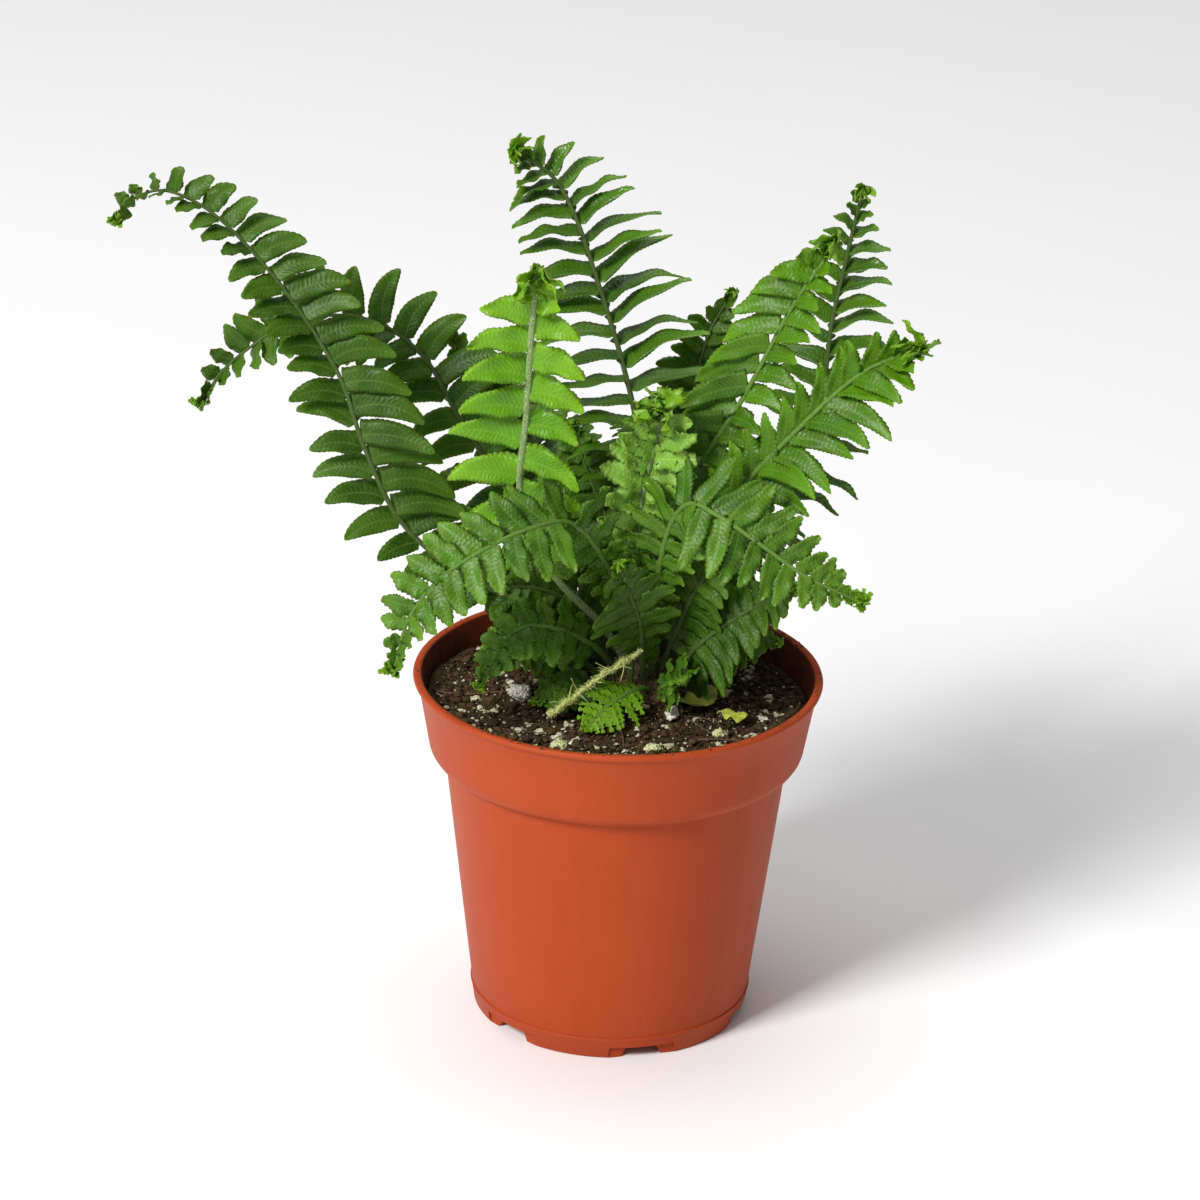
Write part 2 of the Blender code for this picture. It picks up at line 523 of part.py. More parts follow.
def make_frond(frond, midrib, obstacles):
    leaf = principled(frond.name + "_green", frond.tone, 0.42)
    verts, faces = frond_mesh(frond, midrib, obstacles)
    mesh_object(frond.name, verts, faces, leaf)
    return tree_of(verts, faces)


def make_stolon():
    dry = principled("stolon_dry", (0.56, 0.52, 0.22), 0.8)
    curve, _ = even_curve([Vector(p) for p in STOLON_ROUTE], 10)
    frames = frames_along(curve, (0, 0, 1), (0, 0, 1))
    verts, faces, sides = [], [], 6
    for i, (point, (_, out, across)) in enumerate(zip(curve, frames)):
        radius = STOLON_RADIUS * (0.55 + 0.05 * i)
        for k in range(sides):
            turn = 2 * math.pi * k / sides
            verts.append(point + (across * math.cos(turn) + out * math.sin(turn)) * radius)
    for i in range(len(curve) - 1):
        for k in range(sides):
            after = (k + 1) % sides
            a, b = i * sides, (i + 1) * sides
            faces.append([a + k, a + after, b + after, b + k])
    faces.append(list(range(sides)))
    faces.append([len(verts) - sides + k for k in range(sides)])
    mesh_object("stolon", verts, faces, dry)
    return tree_of(verts, faces)


def laid_on(ground, verts, gap=SOIL_GAP):
    """The same points, let down until the nearest of them is gap above the ground."""
    drop = min(v.z - ground.ray_cast(Vector((v.x, v.y, 150.0)), Vector((0, 0, -1)))[0].z
               for v in verts)
    return [v - Vector((0, 0, drop - gap)) for v in verts]


def make_chip(name, place, half, turn, colour, ground):
    stone = principled(name + "_stone", colour, 0.9)
    work = bmesh.new()
    bmesh.ops.create_icosphere(work, subdivisions=2, radius=1.0)
    verts, angle = [], math.radians(turn)
    for i, vert in enumerate(work.verts):
        rough = 0.90 + 0.14 * math.sin(12.9 * i + turn)
        x, y, z = (vert.co[k] * half[k] * rough for k in range(3))
        verts.append(Vector((place[0] + x * math.cos(angle) - y * math.sin(angle),
                             place[1] + x * math.sin(angle) + y * math.cos(angle), 100.0 + z)))
    faces = [[v.index for v in face.verts] for face in work.faces]
    work.free()
    verts = laid_on(ground, verts)
    mesh_object(name, verts, faces, stone)
    return tree_of(verts, faces)


def make_fallen(name, place, length, width, turn, slope, ground):
    """A curled dry leaflet: a thin lens of three cross-sections between two points."""
    dry = principled(name + "_dry", (0.55, 0.50, 0.10), 0.7)
    angle, rise = math.radians(turn), math.tan(math.radians(slope))
    stations = [(-0.32, 0.85, 0.25), (0.0, 1.0, 0.5), (0.3, 0.72, 0.2)]
    verts = []
    for along, wide, lift in [(-0.5, 0.0, 0.0)] + stations + [(0.5, 0.0, 0.0)]:
        for across, thick in ((-1, 0), (0, 0.5), (1, 0), (0, -0.1)) if wide else ((0, 0),):
            x, y = along * length, across * wide * width / 2
            z = 100.0 + x * rise + lift * 1.2 + thick + 0.12 * abs(across)
            verts.append(Vector((place[0] + x * math.cos(angle) - y * math.sin(angle),
                                 place[1] + x * math.sin(angle) + y * math.cos(angle), z)))
    faces = [[0, 1 + k, 1 + (k + 1) % 4] for k in range(4)]
    for ring in (1, 5):
        faces += [[ring + k, ring + (k + 1) % 4, ring + 4 + (k + 1) % 4, ring + 4 + k]
                  for k in range(4)]
    faces += [[9 + k, 9 + (k + 1) % 4, 13] for k in range(4)]
    verts = laid_on(ground, verts)
    mesh_object(name, verts, faces, dry)
    return tree_of(verts, faces)


def tree_of_object(item):
    """The obstacle tree of a finished object, in millimetres, with its modifiers."""
    seen = item.evaluated_get(bpy.context.evaluated_depsgraph_get())
    data = seen.to_mesh()
    verts = [vert.co / MM for vert in data.vertices]
    faces = [list(face.vertices) for face in data.polygons]
    seen.to_mesh_clear()
    return tree_of(verts, faces)


clear_scene()
obstacles = [tree_of_object(item) for item in (make_pot(), make_soil(), make_crown())]
soil_tree = obstacles[1]
for chip in CHIPS:
    obstacles.append(make_chip(*chip, soil_tree))
for leaflet in FALLEN:
    obstacles.append(make_fallen(*leaflet, soil_tree))
obstacles.append(make_stolon())
midribs = [make_midrib(frond) for frond in FRONDS]
for number, (frond, midrib) in enumerate(zip(FRONDS, midribs)):
    later = [other.tree for other in midribs[number + 1:]]
    obstacles.append(make_frond(frond, midrib, obstacles + later))
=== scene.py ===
"""The potted sword fern, finished: toothed and veined fronds, crumbly soil and a moulded pot.

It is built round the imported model's frame. Lengths in tables are millimetres, multiplied by MM.
"""
from collections import namedtuple
from math import cos, hypot, pi, radians, sin, sqrt

import bmesh
import bpy
import numpy as np
from mathutils import Matrix, Vector, noise


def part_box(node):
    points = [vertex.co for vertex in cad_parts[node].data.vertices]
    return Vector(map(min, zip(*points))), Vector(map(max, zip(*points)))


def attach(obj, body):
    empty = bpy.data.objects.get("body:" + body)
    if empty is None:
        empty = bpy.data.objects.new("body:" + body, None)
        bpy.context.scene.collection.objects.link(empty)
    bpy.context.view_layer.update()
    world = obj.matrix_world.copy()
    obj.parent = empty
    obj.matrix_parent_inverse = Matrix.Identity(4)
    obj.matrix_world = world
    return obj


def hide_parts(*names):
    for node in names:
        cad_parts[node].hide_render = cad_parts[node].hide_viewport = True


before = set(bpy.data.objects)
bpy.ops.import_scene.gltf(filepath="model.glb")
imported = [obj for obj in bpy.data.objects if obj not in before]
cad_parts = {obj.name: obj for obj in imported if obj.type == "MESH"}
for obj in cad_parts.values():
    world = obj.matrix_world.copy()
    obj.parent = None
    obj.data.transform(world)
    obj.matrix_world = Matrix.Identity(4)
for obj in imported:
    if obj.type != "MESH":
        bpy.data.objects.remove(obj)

MM = 0.001
scene = bpy.context.scene
UP = np.array((0.0, 0.0, 1.0))
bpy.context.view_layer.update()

# ---- the design's own numbers
RIM_HEIGHT = 95.5
FOOT_RADIUS = 36.9
NOTCH_COUNT, NOTCH_TURN = 6, radians(-76.0)
POCKET_WIDTH, POCKET_DEPTH, POCKET_HEIGHT = 18.6, 1.5, 3.4
ARCH_FOOT_WIDTH, ARCH_TOP_WIDTH, ARCH_HEIGHT = 11.0, 7.8, 2.8
DRAIN_WIDTH, DRAIN_LENGTH, DRAIN_RADIUS, FLOOR_CUT = 3.6, 9.0, 26.0, (2.8, 6.0)
PLATEAU_HEIGHT, EDGE_HEIGHT, SOIL_EDGE = 92.2, 86.3, 50.0
CROWN_CENTRE = np.array((6.0, -3.0, 92.7))
CROWN_RADIUS, CROWN_RISE, NECK = 11.0, 5.6, 1.4

Frond = namedtuple("Frond", "name spot ring route face_low face_high pairs bare reach breadth lean lift "
                            "blind droop tone")
# The fronds: where each leaves the crown, its midrib's way as the frame has it, where its upper side
# looks at its foot and tip, its pairs of leaflets, and their size and set.
FRONDS = [Frond(*row) for row in (
    ("far_left_arching", 187, 8.5, [(-14, -5, 112), (-38, -9, 124), (-56, -12, 140), (-66, -13, 161),
      (-73, -12, 181), (-87, -11, 203), (-103, -9, 220), (-116, -7, 226), (-125, -6, 223), (-127, -6, 219)],
     (-2, -9, 4), (-1, -6, 8), 20, 0.24, 19, 6.6, 8, 8, 18, 0.1, "dark"),
    ("left_drooping", 160, 5, [(-8, 5, 114), (-24, 10, 132), (-43, 14, 160), (-53, 17, 176), (-67, 18, 185),
      (-85, 15, 186), (-97, 12, 179), (-105, 10, 172), (-109, 8, 165)],
     (-2, -8, 6), (1, -7, 7), 16, 0.26, 18, 6.4, 12, 8, 12, 0.08, "dark"),
    ("front_upright", 236, 5, [(-4, -10, 112), (-18, -16, 130), (-26, -22, 152), (-25, -26, 175),
      (-24, -30, 197), (-23, -33, 214)],
     (-1, -10, 2), (0, -10, 1), 8, 0.34, 17, 8.4, 4, 6, 14, 0.08, "bright"),
    ("tall_back", 90, 4, [(6, 6, 118), (5, 11, 140), (3, 13, 160), (-2, 16, 179), (-8, 18, 197),
      (-14, 21, 213), (-20, 23, 223), (-29, 21, 230)],
     (1, -10, 1), (3, -9, 2), 16, 0.28, 23, 6.2, 10, 6, 66, 0.05, "slat"),
    ("right_back_upright", 22, 8.5, [(16, 4, 110), (30, 12, 126), (44, 17, 147), (51, 21, 166),
      (53, 22, 186), (56, 22, 204), (59, 20, 222)],
     (-2, -9, 3), (-2, -10, 2), 14, 0.3, 17, 6, 12, 6, 58, 0.05, "slat"),
    ("right_upright", 330, 4, [(10, -4, 118), (12, -7, 138), (19, -10, 157), (30, -12, 178), (41, -13, 202),
      (51, -12, 218)], (-4, -8, 4), (-5, -8, 3), 13, 0.34, 16, 6.2, 14, 12, 8, 0.14, "olive"),
    ("right_spreading", 348, 8.5, [(17, -7, 112), (22, -14, 136), (30, -21, 156), (42, -26, 173),
      (56, -27, 188), (66, -27, 194), (72, -27, 196)],
     (-3, -9, 3), (-3, -8, 5), 13, 0.3, 18, 6, 16, 8, 14, 0.1, "olive"),
    ("front_right_arching", 296, 5.5, [(9, -12, 120), (11, -21, 142), (16, -28, 154), (24, -36, 154),
      (34, -41, 149), (46, -45, 142), (59, -48, 137)],
     (-2, -8, 6), (-1, -7.5, 6.5), 13, 0.34, 16, 5.2, 12, 4, 10, 0.06, "mid"),
    ("right_low", 318, 8.5, [(16, -10, 102), (21, -14, 110), (28, -18, 118), (36, -20, 124),
      (44, -22, 129)], (-4, -7, 5), (-3, -7.5, 5.5), 9, 0.14, 14, 5, 10, 2, 6, 0.2, "dark"),
    ("front_left_arching", 252, 8.5, [(2, -13, 118), (-5, -20, 136), (-13, -28, 148), (-23, -37, 150),
      (-35, -43, 146), (-46, -47, 139), (-53, -49, 129), (-56, -50, 117)],
     (-1, -7, 7), (-3, -8, 4), 13, 0.34, 15, 5.6, 10, 4, 6, 0.08, "mid"),
    ("left_low", 210, 7.5, [(-5, -11, 106), (-15, -19, 115), (-25, -25, 118), (-31, -29, 113),
      (-35, -32, 105)], (-1, -7, 7), (-2, -8, 5), 8, 0.24, 10, 5.4, 10, 2, 6, 0.1, "mid"),
    ("young_centre", 272, 3.5, [(6, -7, 118), (4, -11, 134), (5, -15, 152), (8, -17, 168), (8, -18, 178)],
     (0, -10, 2), (1, -10, 1), 8, 0.46, 14, 9.4, 20, 16, 14, 0.08, "young"),
    ("back_right_short", 55, 5, [(11, 7, 118), (13, 18, 138), (17, 26, 160), (21, 31, 178), (27, 32, 190)],
     (-1, -9, 4), (-1, -9, 4), 12, 0.34, 16, 5.6, 20, 6, 24, 0.06, "dark"),
    ("back_left_short", 124, 6, [(-2, 8, 114), (-16, 18, 136), (-30, 26, 156), (-40, 31, 169),
      (-48, 33, 178)], (-1, -8, 6), (-1, -8, 6), 12, 0.34, 15, 5.6, 16, 6, 16, 0.06, "dark"),
    ("inner_glossy", 275, 7.2, [(6, -14, 106), (5, -20, 118), (2, -24, 128), (-1, -26, 136)],
     (1, -8, 6), (1, -8, 6), 5, 0.42, 13, 7.2, 10, 6, 8, 0.12, "dark"),
    ("inner_left", 172, 9.5, [(-6, -1, 104), (-20, 0, 114), (-34, 2, 120), (-46, 4, 121)],
     (-2, -7, 7), (-2, -7, 7), 9, 0.26, 12, 5.2, 12, 4, 8, 0.14, "dark"),
    ("inner_right", 5, 6.5, [(16, 0, 112), (23, 2, 126), (31, 4, 138), (39, 4, 147)],
     (-3, -8, 5), (-3, -8, 5), 9, 0.34, 13, 5.4, 14, 6, 14, 0.1, "dark"),
    ("inner_back", 108, 7.5, [(2, 8, 118), (-4, 11, 134), (-10, 13, 148), (-14, 13, 160)],
     (-1, -9, 4), (-1, -9, 4), 9, 0.4, 13, 6, 12, 6, 12, 0.1, "dark"),
    ("front_low", 228, 10, [(-4, -12, 97), (-9, -16, 98), (-15, -19, 98), (-21, -21, 95)],
     (-1, -6, 8), (-2, -6, 8), 5, 0.2, 8, 5.2, 8, 4, 4, 0.04, "mid"),
    ("inner_front_left", 205, 4.2, [(-5, -6, 110), (-13, -10, 119), (-22, -13, 124), (-31, -16, 125)],
     (-1, -8, 6), (-2, -7, 7), 8, 0.3, 14, 6.4, 10, 6, 10, 0.1, "dark"),
    ("inner_front_right", 318, 6, [(15, -9, 112), (19, -13, 124), (24, -16, 133), (30, -18, 138)],
     (-2, -8, 6), (-2, -7, 7), 8, 0.3, 13, 6, 10, 6, 10, 0.1, "dark"),
    ("inner_low_left", 192, 9.8, [(-8, -5, 99), (-17, -8, 106), (-27, -12, 108), (-35, -16, 105)],
     (-1, -6, 8), (-2, -7, 7), 8, 0.22, 11, 5.4, 10, 4, 6, 0.1, "mid"),
    ("inner_low_right", 340, 9.8, [(18, -6, 99), (26, -8, 106), (34, -9, 110), (41, -10, 109)],
     (-2, -7, 7), (-3, -7, 6), 8, 0.22, 10, 5, 10, 4, 6, 0.1, "dark"),
    ("base_front", 300, 10, [(11, -14, 97), (14, -18, 101), (16, -22, 104), (17, -26, 104)],
     (0, -7, 7), (-1, -7, 7), 4, 0.34, 8, 6, 10, 4, 4, 0.06, "mid"),
    ("back_arching", 78, 8.5, [(8, 10, 110), (9, 26, 128), (9, 44, 139), (8, 60, 141), (6, 74, 134),
      (5, 82, 124)], (0, -5, 9), (0, 5, 9), 14, 0.22, 17, 6, 12, 6, 8, 0.12, "dark"),
    ("back_left_arching", 140, 9.5, [(-4, 8, 106), (-15, 24, 124), (-27, 39, 134), (-40, 51, 134),
      (-51, 59, 124)], (2, -3, 9), (-4, 3, 8), 12, 0.24, 15, 6, 12, 6, 8, 0.12, "dark"),
    ("back_right_arching", 38, 9.5, [(16, 8, 104), (26, 20, 116), (36, 34, 121), (44, 46, 117),
      (50, 56, 107)], (-2, -3, 9), (4, 4, 8), 11, 0.22, 13, 5.6, 12, 6, 8, 0.12, "dark"),
    ("back_left_rising", 112, 9.8, [(1, 10, 110), (-7, 24, 131), (-15, 37, 146), (-24, 49, 153)],
     (1, -5, 9), (-1, -3, 9), 11, 0.3, 14, 6, 14, 6, 12, 0.08, "dark"),
    ("back_right_rising", 58, 9.8, [(12, 9, 109), (19, 22, 128), (28, 35, 140), (38, 47, 144)],
     (-1, -5, 9), (1, -3, 9), 11, 0.3, 13, 5.8, 14, 6, 12, 0.08, "dark"),
    ("back_left_low", 156, 9.8, [(-6, 4, 99), (-18, 13, 107), (-30, 24, 109), (-38, 33, 103)],
     (1, -3, 9), (-3, 2, 9), 9, 0.22, 10, 4.8, 12, 4, 6, 0.1, "mid"),
    ("back_right_low", 14, 9.8, [(18, 0, 98), (27, 8, 105), (35, 18, 106), (40, 27, 100)],
     (-1, -3, 9), (3, 2, 9), 8, 0.22, 9, 4.6, 12, 4, 6, 0.1, "mid"),
    ("juvenile_front", 280, 9.5, [(5, -17, 98), (1, -22, 98), (-4, -27, 96), (-8, -32, 93)],
     (0, -5, 9), (0, -6, 8), 7, 0.34, 9.5, 2.8, 20, 4, 0, 0.06, "lacy"),
)]
STOLON_ROUTE = [(6, -19, 110), (1, -20.5, 107), (-5, -22.5, 103.5), (-11, -24.5, 99), (-18, -27, 94)]

# How a frond's leaflets differ from its table row: turned towards its tip on the left and on the
# right, in degrees, their length there, how much more they fold up and turn edge-on at its tip, and
# how much later the frond tapers.
Set = namedtuple("Set", "left right long_left long_right tip_lift tip_blind late")
PLAIN_SET = Set(0, 0, 1.0, 1.0, 10, 0, 0)
SETS = {
    "far_left_arching": Set(26, -36, 0.8, 1.04, 26, 12, 0.7),
    "left_drooping": Set(6, -10, 0.85, 1.0, 24, 8, 1.2),
    "tall_back": Set(0, -6, 1.0, 1.05, 0, -16, 2.0),
    "front_upright": Set(-10, -20, 1.1, 0.88, 10, 0, 0),
    "right_back_upright": Set(-4, 10, 1.0, 1.12, 0, 0, 0.6),
    "right_upright": Set(-84, 14, 1.2, 0.8, 16, 8, 2.0),
    "right_spreading": Set(36, 18, 0.84, 1.15, 10, 0, 3.0),
}

# How each tone of leaf is grown: depth and length of its teeth in mm, and whether they point forward;
# the share of the blade above its midrib; how blunt that side and the lower one end; fold, cup, ripple
# and arch of the blade; turns and length of the curled tip; hairs on the midrib and its thickness at
# the tip; how late the frond tapers; slot and midrib.
Habit = namedtuple("Habit", "depth tooth saw upper blunt blunt_low fold cup ripple arch turns bud hairs "
                            "fine taper slot rib")
HABITS = {
    "dark": Habit(0.36, 1.25, 0.5, 0.56, 2.3, 2.8, 0.14, 0.34, 0.6, 0.11, 0.35, 0.24, 70, 0.28, 2.4,
        "leaf_dark", "rib_green"),
    "slat": Habit(0.34, 1.3, 0.7, 0.6, 1.2, 1.5, 0.2, 0.3, 0.6, 0.14, 0.3, 0.34, 90, 0.46, 3.2,
        "leaf_dark", "rib_green"),
    "mid": Habit(0.62, 1.15, 0.9, 0.55, 2.9, 3.4, 0.24, 0.36, 1.0, 0.05, 0.5, 0.3, 80, 0.34, 3.2,
        "leaf_mid", "rib_leafy"),
    "olive": Habit(0.46, 1.2, 0.9, 0.6, 1.8, 2.2, 0.24, 0.32, 0.8, 0.08, 0.8, 0.56, 160, 0.5, 4.2,
        "leaf_bright", "rib_leafy"),
    "bright": Habit(0.46, 1.1, 0.9, 0.64, 1.3, 1.9, 0.22, 0.26, 1.1, 0.09, 0.7, 0.66, 560, 0.86, 7.0,
        "leaf_bright", "rib_pale"),
    "young": Habit(0.8, 1.7, 0.7, 0.55, 2.4, 3.0, 0.34, 0.4, 2.6, 0.02, 1.0, 0.75, 220, 0.5, 6.0,
        "leaf_young", "rib_pale"),
    "lacy": Habit(1.3, 1.6, 1.0, 0.52, 1.8, 2.4, 0.2, 0.2, 0.5, 0.02, 0.2, 0.2, 20, 0.3, 2.4,
        "leaf_bright", "rib_leafy"),
    "limp": Habit(0.6, 1.2, 0.7, 0.52, 2.1, 2.3, 0.16, 0.24, 0.8, 0.0, 0.0, 0.0, 0, 0.3, 2.0, "leaf_dry",
        ""),
}

# ---- meshes


class Build:
    """Points, faces and marks of one piece, gathered in millimetres."""

    def __init__(self):
        self.verts, self.blade, self.size = [], [], []
        self.faces, self.slots = {4: [], 3: []}, {4: [], 3: []}
        self.count = 0

    def add(self, verts, quads, tris, blade=None, size=None, slot=0):
        verts = np.asarray(verts, float).reshape(-1, 3)
        for kept, rows in ((self.verts, verts), (self.blade, blade), (self.size, size)):
            kept.append(np.zeros((len(verts), 3)) if rows is None else np.asarray(rows, float))
        for corners, faces in ((4, quads), (3, tris)):
            faces = np.asarray(faces, int).reshape(-1, corners) + self.count
            self.faces[corners].append(faces)
            self.slots[corners].append(np.full(len(faces), slot))
        self.count += len(verts)

    def make(self, name, materials):
        verts = np.concatenate(self.verts) * MM
        quads, tris = (np.concatenate(self.faces[corners]) for corners in (4, 3))
        data = bpy.data.meshes.new(name)
        data.vertices.add(len(verts))
        data.vertices.foreach_set("co", verts.astype(np.float32).ravel())
        corners = np.concatenate([quads.ravel(), tris.ravel()]).astype(np.int32)
        starts = np.append(np.arange(len(quads)) * 4, quads.size + np.arange(len(tris)) * 3).astype(np.int32)
        data.loops.add(len(corners))
        data.loops.foreach_set("vertex_index", corners)
        data.polygons.add(len(starts))
        data.polygons.foreach_set("loop_start", starts)
        for material in materials:
            data.materials.append(material)
        slots = np.concatenate(self.slots[4] + self.slots[3]).astype(np.int32)
        data.polygons.foreach_set("material_index", slots)
        data.polygons.foreach_set("use_smooth", np.ones(len(starts), bool))
        for mark, rows in (("blade", self.blade), ("size", self.size)):
            layer = data.attributes.new(mark, "FLOAT_VECTOR", "POINT")
            layer.data.foreach_set("vector", np.concatenate(rows).astype(np.float32).ravel())
        data.update(calc_edges=True)
        data.validate()
        return linked(name, data)


def linked(name, data):
    made = bpy.data.objects.new(name, data)
    scene.collection.objects.link(made)
    return made


def keep(piece, slot, *nodes):
    """Fixes a finished piece to the plant's one body, in place of the frame's plain nodes."""
    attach(piece, "root")
    for node in nodes:
        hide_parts(node)


def unit(v):
    v = np.asarray(v, float)
    return v / np.maximum(np.linalg.norm(v, axis=-1, keepdims=True), 1e-12)


def smooth_curve(points, count):
    """count + 1 evenly spaced points on the smooth curve through points, and its length."""
    points = np.asarray(points, float)
    padded = np.vstack([2 * points[0] - points[1], points, 2 * points[-1] - points[-2]])
    dense = []
    for i in range(len(points) - 1):
        p0, p1, p2, p3 = padded[i:i + 4]
        t = np.linspace(0, 1, 60, endpoint=i == len(points) - 2)[:, None]
        dense.append(0.5 * (2 * p1 + (p2 - p0) * t + (2 * p0 - 5 * p1 + 4 * p2 - p3) * t**2
                            + (3 * p1 - p0 - 3 * p2 + p3) * t**3))
    dense = np.vstack(dense)
    run = np.concatenate([[0], np.cumsum(np.linalg.norm(np.diff(dense, axis=0), axis=1))])
    want = np.linspace(0, run[-1], count + 1)
    return np.stack([np.interp(want, run, dense[:, k]) for k in range(3)], 1), run[-1]


def skin(build, rings, ends, blade, slot):
    """Closes stacked rings of points into one skin, with a fan round each end point."""
    n, sides = rings.shape[:2]
    at = np.arange(n * sides).reshape(n, sides)
    after = np.roll(at, -1, axis=1)
    quads = np.stack([at[:-1], after[:-1], after[1:], at[1:]], -1).reshape(-1, 4)
    foot = np.stack([np.full(sides, n * sides), after[0], at[0]], 1)
    head = np.stack([np.full(sides, n * sides + 1), at[-1], after[-1]], 1)
    build.add(np.vstack([rings.reshape(-1, 3), *ends]), quads, np.vstack([foot, head]), blade, None, slot)


def tube(build, curve, radii, ups, sides=10, groove=0.0, slot=1, mark=0.5):
    """A closed tube along curve; groove presses its upper side in by that share."""
    along = unit(np.gradient(curve, axis=0))
    up = unit(ups - along * np.sum(ups * along, 1)[:, None])
    side = np.cross(along, up)
    turn = np.arange(sides) * 2 * pi / sides
    reach = radii[:, None] * (1 - groove * np.exp(-((np.cos(turn) - 1) / 0.12) ** 2))[None]
    rings = (curve[:, None] + side[:, None] * (reach * np.sin(turn))[..., None]
             + up[:, None] * (reach * np.cos(turn))[..., None])
    n = len(curve)
    share = np.append(np.repeat(np.linspace(0, 1, n), sides), (0, 1))
    blade = np.stack([share, np.append(np.tile(np.cos(turn), n), (0, 0)), np.full(len(share), mark)], 1)
    skin(build, rings, (curve[0], curve[-1]), blade, slot)


def turned(build, section, sides, lift=None, mark=0.5):
    """A turned solid whose section starts and ends on the axis; lift moves its rings up or down."""
    turn = np.arange(sides) * 2 * pi / sides
    circle = np.stack([np.cos(turn), np.sin(turn), np.ones(sides)], 1)
    rings = np.array([circle * (radius, radius, z) for radius, z in section[1:-1]])
    for ring in rings if lift else ():
        ring[:, 2] = lift(ring)
    blade = np.tile((0, 0, mark), (len(rings) * sides + 2, 1))
    skin(build, rings, [(0, 0, section[0][1]), (0, 0, section[-1][1])], blade, 0)


def spikes(build, feet, ways, lengths, widths, slot=1, mark=0.5):
    """Small closed three-sided hairs or scales: a foot, a direction and a length each."""
    ways = unit(ways)
    ref = np.where(np.abs(ways[:, 2:3]) > 0.9, (1.0, 0.0, 0.0), UP)
    a = unit(np.cross(ways, ref))
    b = np.cross(ways, a)
    corners = [a, -0.5 * a + 0.866 * b, -0.5 * a - 0.866 * b]
    verts = np.stack([feet + c * widths[:, None] for c in corners] + [feet + ways * lengths[:, None]], 1)
    base = 4 * np.arange(len(feet))[:, None]
    faces = np.array([(0, 2, 1), (0, 1, 3), (1, 2, 3), (2, 0, 3)])
    tris = (base[:, None] + faces[None]).reshape(-1, 3)
    blade = np.tile([(0.4, 0, mark)] * 3 + [(1.0, 0, mark)], (len(feet), 1))
    build.add(verts, [], tris, blade, None, slot)


